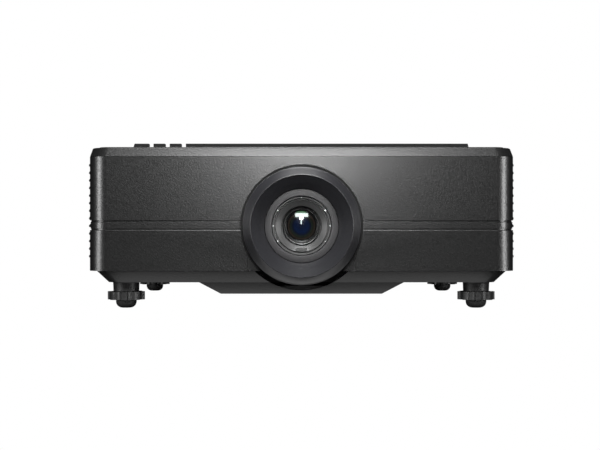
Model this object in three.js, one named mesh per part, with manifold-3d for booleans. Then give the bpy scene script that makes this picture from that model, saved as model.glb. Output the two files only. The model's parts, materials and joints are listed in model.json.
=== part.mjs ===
// Large-venue video projector with a centred, shiftable lens.
// Millimetres, +Z up. The front faces -Y and the lens axis lies in the plane X = 0.
// The model is laid out from the front face (y = 0, running back) and the table (z = 0),
// then the whole group is moved along Y so that the origin is under the middle of the object.

import * as THREE from "three";
import { mergeVertices } from "three/addons/utils/BufferGeometryUtils.js";
import Module from "manifold-3d";

const wasm = await Module();
wasm.setup();

// ---------- driving dimensions ----------

// clearances
const SEAM = 0.3; // between pieces that touch or are fastened together
const RUNNING_GAP = 0.4; // round a piece that turns or slides in another

// case
const CASE_WIDTH = 484;
const CASE_DEPTH = 505;
const WALL = 3;
const FRONT_CORNER_RADIUS = 22;
const REAR_CORNER_RADIUS = 8;
const LOWER_FACE_HEIGHT = 48; // bottom seam to the belt
const BELT_HEIGHT = 7.9;
const UPPER_FACE_HEIGHT = 74.3; // belt to the top seam
const TOP_BAND_HEIGHT = 10.1;
const TOP_BAND_SETBACK = 8;
const BEZEL_RETURN = 30; // how far the front bezel wraps round the sides
const REAR_PANEL_RETURN = 10;
const RIM_LEDGE = 14; // width of the ledge that closes the case over the pan
const BELT_RECESS = 0.8;
const GROOVE_WIDTH = 1.2;
const GROOVE_DEPTH = 1.6;

// bottom pan and its deeper middle under the lens
const PAN_HEIGHT = 13.6;
const PAN_INSET = 8;
const PAN_SLOPE = 12;
const HUMP_DEPTH = 13.1;
const HUMP_TOP_HALF_WIDTH = 119;
const HUMP_BOTTOM_HALF_WIDTH = 92.5;
const HUMP_FRONT = 20;
const HUMP_FRONT_SLOPE = 7;
const HUMP_REAR = 182;
const RECESS_RADIUS = 74;
const RECESS_DEPTH = 27;

// levelling feet
const FOOT_PAD_HEIGHT = 9.6;
const FOOT_PAD_RADIUS = 12.25;
const FOOT_KNOB_HEIGHT = 9.4;
const FOOT_KNOB_RADIUS = 21.5;
const FOOT_KNOB_LOBES = 8;
const FOOT_BOSS_HEIGHT = 11.6;
const FOOT_BOSS_RADIUS = 15;
const FOOT_STUD_RADIUS = 6;
const FOOT_TRAVEL = 15;
const FOOT_STUD_ENGAGED = 8; // thread left in the boss when the foot is fully out
const FRONT_FOOT_X = 204.5;
const FRONT_FOOT_Y = 55;
const REAR_FOOT_X = 210;
const REAR_FOOT_Y = 445;

// raised strip on the top cover
const RIDGE_HALF_LENGTH = 197.6;
const RIDGE_START = 60;
const RIDGE_WIDTH = 12;
const RIDGE_HEIGHT = 7.2;
const RIDGE_END_SLANT = 2;
const RIDGE_SLOT_WIDTH = 5.3;
const RIDGE_SLOT_PITCH = 19;
const RIDGE_FIRST_SLOT = -176;
const RIDGE_SLOTS = 3;

// side louvres
const LOUVRE_COUNT = 13;
const LOUVRE_PITCH = 8.75;
const LOUVRE_FIRST_ABOVE_SEAM = 14.5;
const LOUVRE_PROUD = 3.4;
const LOUVRE_BLADE = 5.2;
const LOUVRE_SLOT = 2.8;
const LOUVRE_LIP = 0.4; // wall left between a blade and the slot under it
const LOUVRE_BANKS = 3;
const LOUVRE_MULLION = 14;
const LOUVRE_END_MARGIN = 5;
const LOUVRE_SLOT_INSET = 3; // blades run this far past the slots

// lens
const LENS_AXIS_ABOVE_SEAM = 51.3;
const LENS_SHIFT_X = 8;
const LENS_SHIFT_Z = 6;
const RING_RADIUS = 66.5;
const RING_CREST_RADIUS = 57;
const RING_DEPTH = 24; // crest ahead of the front face
const RING_RIM_WIDTH = 5.5;
const RING_BACK_GAP = 1.5;
const RING_WALL = 4;
const RING_NECK_GAP = 0.6; // from the neck's end to the ledge behind the bezel wall
const NOSE_GAP = 1.5; // under the barrel nose at the lowest lens shift
const BEZEL_HOLE_GAP = 2.9; // round the ring's neck at the furthest sideways shift
const BARREL_NOSE_RADIUS = 41.7;
const BARREL_RADIUS = 48;
const BARREL_TAIL_RADIUS = 40;
const BARREL_NOSE_LENGTH = 18;
const BARREL_SHOULDER = 100; // depth of the seat on the lens mount
const BARREL_TAIL_LENGTH = 31;
const FOCUS_BORE_RADIUS = 33.8;
const FOCUS_BORE_LENGTH = 34;
const ZOOM_BORE_RADIUS = 30;
const FOCUS_CELL_START = 6;
const FOCUS_CELL_LENGTH = 22;
const ZOOM_CELL_START = 60;
const ZOOM_CELL_LENGTH = 30;
const FRONT_GLASS_RADIUS = 22;
const ZOOM_GLASS_RADIUS = 20;
const GEAR_RING_WALL = 6;
const GEAR_RING_WIDTH = 12;
const GEAR_TEETH = 24;
const GEAR_TOOTH_DEPTH = 1.6;
const FOCUS_GEAR_START = 24;
const ZOOM_GEAR_START = 50;
const TRIM_HALF_WIDTH = 61;
const TRIM_HEIGHT = 34;

// lens shift plates, stacked behind the barrel shoulder
const PLATE = 6;
const MOUNT_SEAT_MARGIN = 2; // mount plate above and below the barrel
const MOUNT_SIDE_MARGIN = 26; // mount plate beside the barrel
const CARRIAGE_END_MARGIN = 10; // carriage beyond the mount plate at full sideways shift
const CARRIAGE_TOP_MARGIN = 1.6;
const RAIL = 8;
const SHIFT_MOTOR_RADIUS = 9;
const SHIFT_BASE_ABOVE_AXIS = 72;

// light engine
const ENGINE_LEFT = -90;
const ENGINE_RIGHT = 110;
const ENGINE_LENGTH = 116;
const ENGINE_HEIGHT = 113;
const ENGINE_WALL = 4;
const PRISM_SIZE = 42;
const WHEEL_RADIUS = 28;
const WHEEL_X = 72;
const IMAGER_WIDTH = 28;
const IMAGER_HEIGHT = 22;
const LASER_WIDTH = 50;
const LASER_LENGTH = 90;
const LASER_HEIGHT = 70;
const FIN_HEIGHT = 32;
const FIN_PITCH = 8;
const FIN_THICKNESS = 2;
const SINK_BASE = 6;

// fans
const FAN_SIZE = 92;
const FAN_DEPTH = 25;
const FAN_BORE_RADIUS = 43.5;
const FAN_HUB_RADIUS = 18;
const FAN_BLADES = 7;

// electronics and sockets
const BOARD = 1.6;
const BOARD_HEIGHT = 26.4; // above the pan floor
const SUPPLY_WIDTH = 135;
const SUPPLY_LENGTH = 135;
const SUPPLY_HEIGHT = 64;
const SOCKET_GAP = 0.4;

// keypad on the rear panel
const KEYPAD_X = 150;
const KEYPAD_ABOVE_SEAM = 88;
const KEYPAD_WIDTH = 118;
const KEYPAD_HEIGHT = 44;
const KEYPAD_THICKNESS = 1.5;
const KEY_PROUD = 3.3;
const KEY_FLANGE = 2.2;

// ---------- derived heights ----------

const PAN_FLOOR_Z = FOOT_PAD_HEIGHT + FOOT_KNOB_HEIGHT + FOOT_BOSS_HEIGHT;
const SEAM_Z = PAN_FLOOR_Z + PAN_HEIGHT;
const BELT_Z = SEAM_Z + LOWER_FACE_HEIGHT;
const TOP_SEAM_Z = BELT_Z + BELT_HEIGHT + UPPER_FACE_HEIGHT;
const TOP_Z = TOP_SEAM_Z + TOP_BAND_HEIGHT;
const HUMP_Z = PAN_FLOOR_Z - HUMP_DEPTH;
const LENS_Z = SEAM_Z + LENS_AXIS_ABOVE_SEAM;
const FLOOR_TOP_Z = PAN_FLOOR_Z + WALL;
const HALF_WIDTH = CASE_WIDTH / 2;
const REAR_PANEL_Y = CASE_DEPTH - REAR_PANEL_RETURN;
const BEYOND = 20; // overrun of cutting bodies
const GEAR_RING_RADIUS = BARREL_RADIUS + GEAR_RING_WALL;
const MOUNT_PLATE_HALF_WIDTH = BARREL_RADIUS + MOUNT_SIDE_MARGIN;
const MOUNT_PLATE_HALF_HEIGHT = BARREL_RADIUS + MOUNT_SEAT_MARGIN;
const CARRIAGE_HALF_WIDTH = MOUNT_PLATE_HALF_WIDTH + LENS_SHIFT_X + CARRIAGE_END_MARGIN;
const CARRIAGE_HALF_HEIGHT = MOUNT_PLATE_HALF_HEIGHT + RUNNING_GAP + RAIL + CARRIAGE_TOP_MARGIN;
const RING_NECK_INNER = BARREL_NOSE_RADIUS + RUNNING_GAP;
const RING_NECK_OUTER = RING_NECK_INNER + RING_WALL;
const BEZEL_HOLE_RADIUS = RING_NECK_OUTER + LENS_SHIFT_X + BEZEL_HOLE_GAP;

// ---------- helpers ----------

function signedVolume(position, index) {
  const a = new THREE.Vector3();
  const b = new THREE.Vector3();
  const c = new THREE.Vector3();
  let volume = 0;
  for (let i = 0; i < index.length; i += 3) {
    a.fromBufferAttribute(position, index[i]);
    b.fromBufferAttribute(position, index[i + 1]);
    c.fromBufferAttribute(position, index[i + 2]);
    volume += a.dot(b.cross(c)) / 6;
  }
  return volume;
}

// a closed three.js geometry as a solid that can be cut and joined
function solid(geometry) {
  const bare = geometry.clone();
  bare.deleteAttribute("normal");
  bare.deleteAttribute("uv");
  const merged = mergeVertices(bare, 1e-4);
  const position = merged.attributes.position;
  const triangles = [];
  const index = merged.index.array;
  for (let i = 0; i < index.length; i += 3) {
    const [a, b, c] = [index[i], index[i + 1], index[i + 2]];
    if (a !== b && b !== c && c !== a) triangles.push(a, b, c);
  }
  if (signedVolume(position, triangles) < 0) triangles.reverse();
  const mesh = new wasm.Mesh({
    numProp: 3,
    vertProperties: new Float32Array(position.array),
    triVerts: new Uint32Array(triangles),
  });
  return new wasm.Manifold(mesh);
}

function geometryOf(body) {
  const mesh = body.getMesh();
  const geometry = new THREE.BufferGeometry();
  geometry.setAttribute("position", new THREE.Float32BufferAttribute(mesh.vertProperties, 3));
  geometry.setIndex(Array.from(mesh.triVerts));
  geometry.computeVertexNormals();
  return geometry;
}

function block(x0, x1, y0, y1, z0, z1) {
  const geometry = new THREE.BoxGeometry(x1 - x0, y1 - y0, z1 - z0);
  geometry.translate((x0 + x1) / 2, (y0 + y1) / 2, (z0 + z1) / 2);
  return solid(geometry);
}

// outline in X and Y, raised along Z
function prismZ(shape, z0, z1, curveSegments = 5) {
  const geometry = new THREE.ExtrudeGeometry(shape, {
    depth: z1 - z0,
    bevelEnabled: false,
    curveSegments,
  });
  geometry.translate(0, 0, z0);
  return solid(geometry);
}

// outline in X and Z, run along Y
function prismY(shape, y0, y1, curveSegments = 5) {
  const geometry = new THREE.ExtrudeGeometry(shape, {
    depth: y1 - y0,
    bevelEnabled: false,
    curveSegments,
  });
  geometry.rotateX(Math.PI / 2);
  geometry.translate(0, y1, 0);
  return solid(geometry);
}

function outline(points) {
  return new THREE.Shape(points.map(([x, y]) => new THREE.Vector2(x, y)));
}

// profile of [radius, y] points turned round an axis along Y through (x, z)
function turnedY(profile, x, z, segments = 48) {
  const points = profile.map(([radius, y]) => new THREE.Vector2(radius, y));
  const geometry = new THREE.LatheGeometry(points, segments);
  geometry.translate(x, 0, z);
  return solid(geometry);
}

function diskY(radius, y0, y1, x, z, segments = 48) {
  return turnedY([[0, y0], [radius, y0], [radius, y1], [0, y1]], x, z, segments);
}

function turnedZ(profile, segments = 20) {
  const points = profile.map(([radius, z]) => new THREE.Vector2(radius, z));
  const geometry = new THREE.LatheGeometry(points, segments);
  geometry.rotateX(Math.PI / 2);
  return solid(geometry);
}

function cylinderX(radius, x0, x1, segments = 32) {
  const geometry = new THREE.CylinderGeometry(radius, radius, x1 - x0, segments);
  geometry.rotateZ(Math.PI / 2);
  geometry.translate((x0 + x1) / 2, 0, 0);
  return solid(geometry);
}

const COLOURS = {
  caseBlack: { color: 0x1d1e1f, roughness: 0.48, metalness: 0 },
  panBlack: { color: 0x18191a, roughness: 0.6, metalness: 0 },
  louvreBlack: { color: 0x141516, roughness: 0.55, metalness: 0 },
  lensSatin: { color: 0x1b1b20, roughness: 0.38, metalness: 0.1 },
  barrelGrey: { color: 0x48484a, roughness: 0.45, metalness: 0.4 },
  coatedGlass: { color: 0x10182c, roughness: 0.05, metalness: 0 },
  footBlack: { color: 0x131314, roughness: 0.65, metalness: 0 },
  footRubber: { color: 0x0d0d0e, roughness: 0.85, metalness: 0 },
  castAluminium: { color: 0x9a9c9f, roughness: 0.5, metalness: 0.9 },
  sheetSteel: { color: 0xa9abad, roughness: 0.4, metalness: 0.95 },
  brass: { color: 0xb08d4a, roughness: 0.35, metalness: 0.95 },
  boardGreen: { color: 0x14532f, roughness: 0.6, metalness: 0 },
  fanBlack: { color: 0x1a1a1b, roughness: 0.55, metalness: 0 },
  socketSteel: { color: 0xb7b9bb, roughness: 0.3, metalness: 1 },
  socketBlack: { color: 0x0f0f10, roughness: 0.5, metalness: 0 },
  keyGrey: { color: 0x3a3b3d, roughness: 0.5, metalness: 0 },
  wheelYellow: { color: 0xd8c34a, roughness: 0.6, metalness: 0 },
};

const projector = new THREE.Group();
const layout = new THREE.Group();
projector.add(layout);
layout.position.y = -(CASE_DEPTH + KEY_PROUD - RING_DEPTH) / 2;

function addPiece(name, body, finish, position = [0, 0, 0], parent = layout) {
  const material = new THREE.MeshStandardMaterial(COLOURS[finish]);
  const mesh = new THREE.Mesh(geometryOf(body), material);
  mesh.name = name;
  mesh.position.set(...position);
  parent.add(mesh);
  return mesh;
}

// ---------- case ----------

// plan of the case, drawn in by an inset all round
function casePlan(inset) {
  const side = HALF_WIDTH - inset;
  const front = inset;
  const rear = CASE_DEPTH - inset;
  const frontRadius = Math.max(FRONT_CORNER_RADIUS - inset, 1.5);
  const rearRadius = Math.max(REAR_CORNER_RADIUS - inset, 1.5);
  const shape = new THREE.Shape();
  shape.moveTo(-side + frontRadius, front);
  shape.lineTo(side - frontRadius, front);
  shape.absarc(side - frontRadius, front + frontRadius, frontRadius, -Math.PI / 2, 0, false);
  shape.lineTo(side, rear - rearRadius);
  shape.absarc(side - rearRadius, rear - rearRadius, rearRadius, 0, Math.PI / 2, false);
  shape.lineTo(-side + rearRadius, rear);
  shape.absarc(-side + rearRadius, rear - rearRadius, rearRadius, Math.PI / 2, Math.PI, false);
  shape.lineTo(-side, front + frontRadius);
  shape.absarc(-side + frontRadius, front + frontRadius, frontRadius, Math.PI, 1.5 * Math.PI, false);
  return shape;
}

// a band between two insets of the case plan
function caseBand(outerInset, innerInset, z0, z1) {
  const outer = prismZ(casePlan(outerInset), z0, z1);
  const inner = prismZ(casePlan(innerInset), z0 - 1, z1 + 1);
  return outer.subtract(inner);
}

// a slab of the case plan whose edge slopes from a wide level to a narrow one
function slopedSlab(wideInset, slope, wideZ, narrowZ, steps) {
  const height = Math.abs(wideZ - narrowZ);
  const geometry = new THREE.ExtrudeGeometry(casePlan(wideInset + slope), {
    depth: 1,
    bevelEnabled: true,
    bevelSize: slope,
    bevelThickness: height,
    bevelSegments: steps,
    curveSegments: 5,
  });
  const up = narrowZ > wideZ;
  geometry.translate(0, 0, up ? wideZ - 1 : wideZ);
  const slab = solid(geometry);
  const low = Math.min(wideZ, narrowZ);
  return slab.intersect(block(-CASE_WIDTH, CASE_WIDTH, -BEYOND, CASE_DEPTH + BEYOND, low, low + height));
}

function wallsBetweenSeams() {
  const bottom = SEAM_Z + SEAM;
  const top = TOP_SEAM_Z - SEAM;
  const inside = prismZ(casePlan(WALL), bottom + WALL, top + 1);
  return caseBand(0, RIM_LEDGE, bottom, top).subtract(inside);
}

// the sunk belt and its two border grooves
function beltCut() {
  const beltTop = BELT_Z + BELT_HEIGHT;
  const belt = caseBand(-1, BELT_RECESS, BELT_Z, beltTop);
  const lower = caseBand(-2, GROOVE_DEPTH, BELT_Z, BELT_Z + GROOVE_WIDTH);
  const upper = caseBand(-2, GROOVE_DEPTH, beltTop - GROOVE_WIDTH, beltTop);
  return belt.add(lower).add(upper);
}

function trimRegion(gap) {
  const half = TRIM_HALF_WIDTH + gap;
  const top = SEAM_Z + TRIM_HEIGHT + gap;
  return block(-half, half, -BEYOND, RIM_LEDGE + WALL, SEAM_Z - BEYOND, top);
}

function frontPieces(walls) {
  const region = block(-CASE_WIDTH, CASE_WIDTH, -BEYOND, BEZEL_RETURN, 0, TOP_Z);
  const hole = diskY(BEZEL_HOLE_RADIUS, -BEYOND, WALL, 0, LENS_Z, 48);
  const noseNotch = diskY(BARREL_NOSE_RADIUS + LENS_SHIFT_Z + NOSE_GAP, 0, BEZEL_RETURN, 0, LENS_Z, 48);
  const front = walls.intersect(region).subtract(beltCut()).subtract(hole).subtract(noseNotch);
  addPiece("front_bezel", front.subtract(trimRegion(SEAM / 2)), "caseBlack");
  addPiece("lens_lower_trim", front.intersect(trimRegion(-SEAM / 2)), "caseBlack");
}

// one blade, wedge-shaped, running along the side, for the side whose sign is given
function louvreBlade(sign, y0, y1, z) {
  const face = HALF_WIDTH - WALL / 2;
  const tip = HALF_WIDTH + LOUVRE_PROUD;
  const wedge = outline([
    [sign * face, z],
    [sign * tip, z],
    [sign * tip, z + LOUVRE_BLADE * 0.5],
    [sign * face, z + LOUVRE_BLADE],
  ]);
  return prismY(wedge, y0, y1);
}

function sideCover(walls, sign) {
  const y0 = BEZEL_RETURN + SEAM;
  const y1 = REAR_PANEL_Y - SEAM;
  const inboard = HALF_WIDTH - RIM_LEDGE - 1;
  const x0 = sign > 0 ? inboard : -CASE_WIDTH;
  const x1 = sign > 0 ? CASE_WIDTH : -inboard;
  let cover = walls.intersect(block(x0, x1, y0, y1, 0, TOP_Z));
  const bladeStart = y0 + LOUVRE_END_MARGIN;
  const bladeEnd = y1 - LOUVRE_END_MARGIN;
  const slotStart = bladeStart + LOUVRE_SLOT_INSET;
  const slotRun = bladeEnd - LOUVRE_SLOT_INSET - slotStart;
  const bank = (slotRun - LOUVRE_MULLION * (LOUVRE_BANKS - 1)) / LOUVRE_BANKS;
  for (let row = 0; row < LOUVRE_COUNT; row += 1) {
    const z = SEAM_Z + LOUVRE_FIRST_ABOVE_SEAM + row * LOUVRE_PITCH;
    cover = cover.add(louvreBlade(sign, bladeStart, bladeEnd, z));
    for (let i = 0; i < LOUVRE_BANKS; i += 1) {
      const start = slotStart + i * (bank + LOUVRE_MULLION);
      const inner = sign * (HALF_WIDTH - WALL - 1);
      const outer = sign * (HALF_WIDTH + LOUVRE_PROUD + 1);
      const [cutX0, cutX1] = [Math.min(inner, outer), Math.max(inner, outer)];
      const slotTop = z - LOUVRE_LIP;
      cover = cover.subtract(block(cutX0, cutX1, start, start + bank, slotTop - LOUVRE_SLOT, slotTop));
    }
  }
  return cover;
}

function topCover() {
  const bottom = TOP_SEAM_Z;
  const outer = slopedSlab(0, TOP_BAND_SETBACK, bottom, TOP_Z, 2);
  const cavity = prismZ(casePlan(TOP_BAND_SETBACK + WALL), bottom - 1, TOP_Z - WALL);
  return outer.subtract(cavity);
}

function topRidge() {
  const base = TOP_Z + SEAM;
  const top = base + RIDGE_HEIGHT;
  const profile = outline([
    [-RIDGE_HALF_LENGTH, base],
    [RIDGE_HALF_LENGTH, base],
    [RIDGE_HALF_LENGTH - RIDGE_END_SLANT, top],
    [-RIDGE_HALF_LENGTH + RIDGE_END_SLANT, top],
  ]);
  let ridge = prismY(profile, RIDGE_START, RIDGE_START + RIDGE_WIDTH);
  for (let i = 0; i < RIDGE_SLOTS; i += 1) {
    const x = RIDGE_FIRST_SLOT + i * RIDGE_SLOT_PITCH;
    const half = RIDGE_SLOT_WIDTH / 2;
    const y0 = RIDGE_START - 1;
    const y1 = RIDGE_START + RIDGE_WIDTH + 1;
    ridge = ridge.subtract(block(x - half, x + half, y0, y1, base + 1, top + 1));
  }
  return ridge;
}

// the deeper middle of the pan, as a sloping-sided block grown by an offset
function humpBody(offset, top) {
  const rise = top - PAN_FLOOR_Z;
  const sideSlope = (HUMP_TOP_HALF_WIDTH - HUMP_BOTTOM_HALF_WIDTH) / HUMP_DEPTH;
  const topHalf = HUMP_TOP_HALF_WIDTH + offset + rise * sideSlope;
  const bottomHalf = HUMP_BOTTOM_HALF_WIDTH + offset;
  const bottom = HUMP_Z - offset;
  const across = outline([[-topHalf, top], [-bottomHalf, bottom], [bottomHalf, bottom], [topHalf, top]]);
  const frontSlope = HUMP_FRONT_SLOPE / HUMP_DEPTH;
  const front = HUMP_FRONT - offset;
  const rear = HUMP_REAR + offset;
  const along = outline([
    [front - rise * frontSlope, top],
    [front + HUMP_FRONT_SLOPE, bottom],
    [rear - HUMP_FRONT_SLOPE, bottom],
    [rear + rise * frontSlope, top],
  ]);
  const lengthwise = new THREE.ExtrudeGeometry(along, { depth: CASE_WIDTH, bevelEnabled: false });
  const turn = new THREE.Matrix4().makeBasis(
    new THREE.Vector3(0, 1, 0),
    new THREE.Vector3(0, 0, 1),
    new THREE.Vector3(1, 0, 0),
  );
  lengthwise.applyMatrix4(turn);
  lengthwise.translate(-HALF_WIDTH, 0, 0);
  return prismY(across, 0, CASE_DEPTH).intersect(solid(lengthwise));
}

const FOOT_PLACES = [
  { name: "front_left", x: -FRONT_FOOT_X, y: FRONT_FOOT_Y },
  { name: "front_right", x: FRONT_FOOT_X, y: FRONT_FOOT_Y },
  { name: "rear_left", x: -REAR_FOOT_X, y: REAR_FOOT_Y },
  { name: "rear_right", x: REAR_FOOT_X, y: REAR_FOOT_Y },
];
const FOOT_STUD_LENGTH = FOOT_TRAVEL + FOOT_STUD_ENGAGED;

function bottomPan() {
  const top = SEAM_Z;
  const outer = slopedSlab(PAN_INSET, PAN_SLOPE, top, PAN_FLOOR_Z, 1).add(humpBody(0, FLOOR_TOP_Z));
  const innerSlab = slopedSlab(PAN_INSET + WALL, PAN_SLOPE, top + WALL, FLOOR_TOP_Z, 1);
  const cavity = innerSlab.add(humpBody(-WALL, SEAM_Z));
  const recessWall = diskY(RECESS_RADIUS + WALL, -BEYOND, RECESS_DEPTH + WALL, 0, LENS_Z, 48);
  const recess = diskY(RECESS_RADIUS, -BEYOND, RECESS_DEPTH, 0, LENS_Z, 48);
  const lensWay = diskY(GEAR_RING_RADIUS + LENS_SHIFT_X + 1, 0, RECESS_DEPTH + WALL + 1, 0, LENS_Z, 48);
  let pan = outer.subtract(cavity.subtract(recessWall)).subtract(recess).subtract(lensWay);
  const bossBottom = FOOT_PAD_HEIGHT + FOOT_KNOB_HEIGHT + SEAM;
  const bossTop = FLOOR_TOP_Z + FOOT_TRAVEL - FOOT_STUD_ENGAGED;
  for (const foot of FOOT_PLACES) {
    const boss = turnedZ([
      [0, bossBottom],
      [FOOT_BOSS_RADIUS, bossBottom],
      [FOOT_BOSS_RADIUS, PAN_FLOOR_Z + 1],
      [FOOT_BOSS_RADIUS - 3, PAN_FLOOR_Z + 1],
      [FOOT_BOSS_RADIUS - 3, bossTop],
      [0, bossTop],
    ]);
    const bore = turnedZ([
      [0, bossBottom - 1],
      [FOOT_STUD_RADIUS + RUNNING_GAP, bossBottom - 1],
      [FOOT_STUD_RADIUS + RUNNING_GAP, bossTop + 1],
      [0, bossTop + 1],
    ], 12);
    pan = pan.add(boss.translate([foot.x, foot.y, 0]));
    pan = pan.subtract(bore.translate([foot.x, foot.y, 0]));
  }
  return pan;
}

// ---------- feet ----------

function footPad() {
  const top = FOOT_PAD_HEIGHT - SEAM;
  return turnedZ([
    [0, 0],
    [FOOT_PAD_RADIUS * 0.68, 0],
    [FOOT_PAD_RADIUS * 0.93, FOOT_PAD_HEIGHT * 0.2],
    [FOOT_PAD_RADIUS, FOOT_PAD_HEIGHT * 0.5],
    [FOOT_PAD_RADIUS, top],
    [0, top],
  ], 18);
}

// lobed hand knob with its threaded stud
function footKnob() {
  const bottom = FOOT_PAD_HEIGHT;
  const top = bottom + FOOT_KNOB_HEIGHT;
  const lobeDepth = 1.6;
  const points = [];
  const steps = FOOT_KNOB_LOBES * 6;
  for (let i = 0; i < steps; i += 1) {
    const angle = (i / steps) * 2 * Math.PI;
    const radius = FOOT_KNOB_RADIUS - lobeDepth + lobeDepth * Math.cos(FOOT_KNOB_LOBES * angle);
    points.push([radius * Math.cos(angle), radius * Math.sin(angle)]);
  }
  const grip = prismZ(outline(points), bottom, top);
  const stud = turnedZ([
    [0, top - 1],
    [FOOT_STUD_RADIUS, top - 1],
    [FOOT_STUD_RADIUS, top + FOOT_STUD_LENGTH],
    [0, top + FOOT_STUD_LENGTH],
  ], 12);
  return grip.add(stud);
}

function addFeet() {
  const pad = footPad();
  const knob = footKnob();
  for (const foot of FOOT_PLACES) {
    addPiece(`foot_pad_${foot.name}`, pad, "footRubber", [foot.x, foot.y, 0]);
    addPiece(`foot_knob_${foot.name}`, knob, "footBlack", [foot.x, foot.y, 0]);
  }
}

// ---------- lens ----------

const lens = new THREE.Group();
lens.position.z = LENS_Z;
layout.add(lens);

function surroundRing() {
  const back = -RING_BACK_GAP;
  const front = -RING_DEPTH;
  const neckInner = RING_NECK_INNER;
  const neckOuter = RING_NECK_OUTER;
  const neckEnd = WALL - RING_NECK_GAP;
  const funnelEnd = 0;
  return turnedY([
    [neckInner, neckEnd],
    [neckOuter, neckEnd],
    [neckOuter, back],
    [RING_RADIUS, back],
    [RING_RADIUS, back - RING_RIM_WIDTH],
    [RING_RADIUS - 1, back - RING_RIM_WIDTH - 1],
    [RING_CREST_RADIUS + 1.5, front + 1],
    [RING_CREST_RADIUS + 0.5, front],
    [RING_CREST_RADIUS - 0.5, front],
    [RING_CREST_RADIUS - 1.5, front + 1],
    [neckInner, funnelEnd],
    [neckInner, neckEnd],
  ], 0, 0, 48);
}

function lensBarrel() {
  const nose = SEAM;
  const shoulder = BARREL_SHOULDER - SEAM;
  const tail = BARREL_SHOULDER + BARREL_TAIL_LENGTH;
  const step = BARREL_NOSE_LENGTH;
  return turnedY([
    [FOCUS_BORE_RADIUS, nose],
    [BARREL_NOSE_RADIUS, nose],
    [BARREL_NOSE_RADIUS, step],
    [BARREL_RADIUS, step],
    [BARREL_RADIUS, shoulder],
    [BARREL_TAIL_RADIUS, shoulder],
    [BARREL_TAIL_RADIUS, tail],
    [ZOOM_BORE_RADIUS, tail],
    [ZOOM_BORE_RADIUS, FOCUS_BORE_LENGTH],
    [FOCUS_BORE_RADIUS, FOCUS_BORE_LENGTH],
    [FOCUS_BORE_RADIUS, nose],
  ], 0, 0, 36);
}

// a toothed ring that turns on the barrel
function gearRing(start) {
  const points = [];
  const root = GEAR_RING_RADIUS - GEAR_TOOTH_DEPTH;
  for (let tooth = 0; tooth < GEAR_TEETH; tooth += 1) {
    const radii = [root, root, GEAR_RING_RADIUS, GEAR_RING_RADIUS];
    radii.forEach((radius, step) => {
      const angle = ((tooth + step / 4) / GEAR_TEETH) * 2 * Math.PI;
      points.push([radius * Math.cos(angle), radius * Math.sin(angle)]);
    });
  }
  const end = start + GEAR_RING_WIDTH;
  const bore = diskY(BARREL_RADIUS + RUNNING_GAP, start - 1, end + 1, 0, 0, 32);
  return prismY(outline(points), start, end).subtract(bore);
}

// a stepped ring that holds a glass and slides in the barrel
function lensCell(bore, start, length, glass) {
  const outer = bore - RUNNING_GAP;
  const seat = glass + SEAM;
  const lip = glass - 2;
  const seatDepth = start + length * 0.45;
  return turnedY([
    [outer - 1.5, start],
    [outer, start + 1.5],
    [outer, start + length],
    [lip, start + length],
    [lip, seatDepth + 6],
    [seat, seatDepth + 6],
    [seat, seatDepth],
    [outer - 4, start + 2],
    [outer - 4, start],
    [outer - 1.5, start],
  ], 0, 0, 28);
}

// a glass with a bulged front, sitting on the lip of its cell
function lensGlass(radius, cellStart, cellLength) {
  const back = cellStart + cellLength * 0.45 + 6 - SEAM;
  const edge = back - 3;
  const bulge = 4;
  const profile = [[0, back], [radius, back], [radius, edge]];
  const steps = 4;
  for (let i = 1; i <= steps; i += 1) {
    const share = 1 - i / steps;
    profile.push([radius * share, edge - bulge * (1 - share * share)]);
  }
  return turnedY(profile, 0, 0, 24);
}

// a geared motor on a bracket that reaches the barrel, at an angle round the lens
function lensMotor(angle, start) {
  const radius = 8;
  const reach = GEAR_RING_RADIUS + radius + 3;
  const body = diskY(radius, start, start + 26, reach, 0, 20);
  const bracket = block(BARREL_RADIUS + SEAM, reach, start + 2, start + 6, -5, 5);
  return body.add(bracket).rotate([0, -angle, 0]);
}

function addLens() {
  addPiece("lens_surround_ring", surroundRing(), "lensSatin", [0, 0, 0], lens);
  addPiece("lens_barrel", lensBarrel(), "barrelGrey", [0, 0, 0], lens);
  addPiece("focus_ring_gear", gearRing(FOCUS_GEAR_START), "fanBlack", [0, 0, 0], lens);
  addPiece("zoom_ring_gear", gearRing(ZOOM_GEAR_START), "fanBlack", [0, 0, 0], lens);
  const focusCell = lensCell(FOCUS_BORE_RADIUS, FOCUS_CELL_START, FOCUS_CELL_LENGTH, FRONT_GLASS_RADIUS);
  addPiece("focus_lens_cell", focusCell, "barrelGrey", [0, 0, 0], lens);
  const frontGlass = lensGlass(FRONT_GLASS_RADIUS, FOCUS_CELL_START, FOCUS_CELL_LENGTH);
  addPiece("front_glass", frontGlass, "coatedGlass", [0, 0, 0], lens);
  const zoomCell = lensCell(ZOOM_BORE_RADIUS, ZOOM_CELL_START, ZOOM_CELL_LENGTH, ZOOM_GLASS_RADIUS);
  addPiece("zoom_lens_cell", zoomCell, "barrelGrey", [0, 0, 0], lens);
  const zoomGlass = lensGlass(ZOOM_GLASS_RADIUS, ZOOM_CELL_START, ZOOM_CELL_LENGTH);
  addPiece("zoom_glass", zoomGlass, "coatedGlass", [0, 0, 0], lens);
  const focusMotorStart = FOCUS_GEAR_START + GEAR_RING_WIDTH + 1;
  const zoomMotorStart = ZOOM_GEAR_START + GEAR_RING_WIDTH + 1;
  addPiece("focus_motor", lensMotor(135, focusMotorStart), "sheetSteel", [0, 0, 0], lens);
  addPiece("zoom_motor", lensMotor(45, zoomMotorStart), "sheetSteel", [0, 0, 0], lens);
}

// ---------- lens shift ----------

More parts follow.
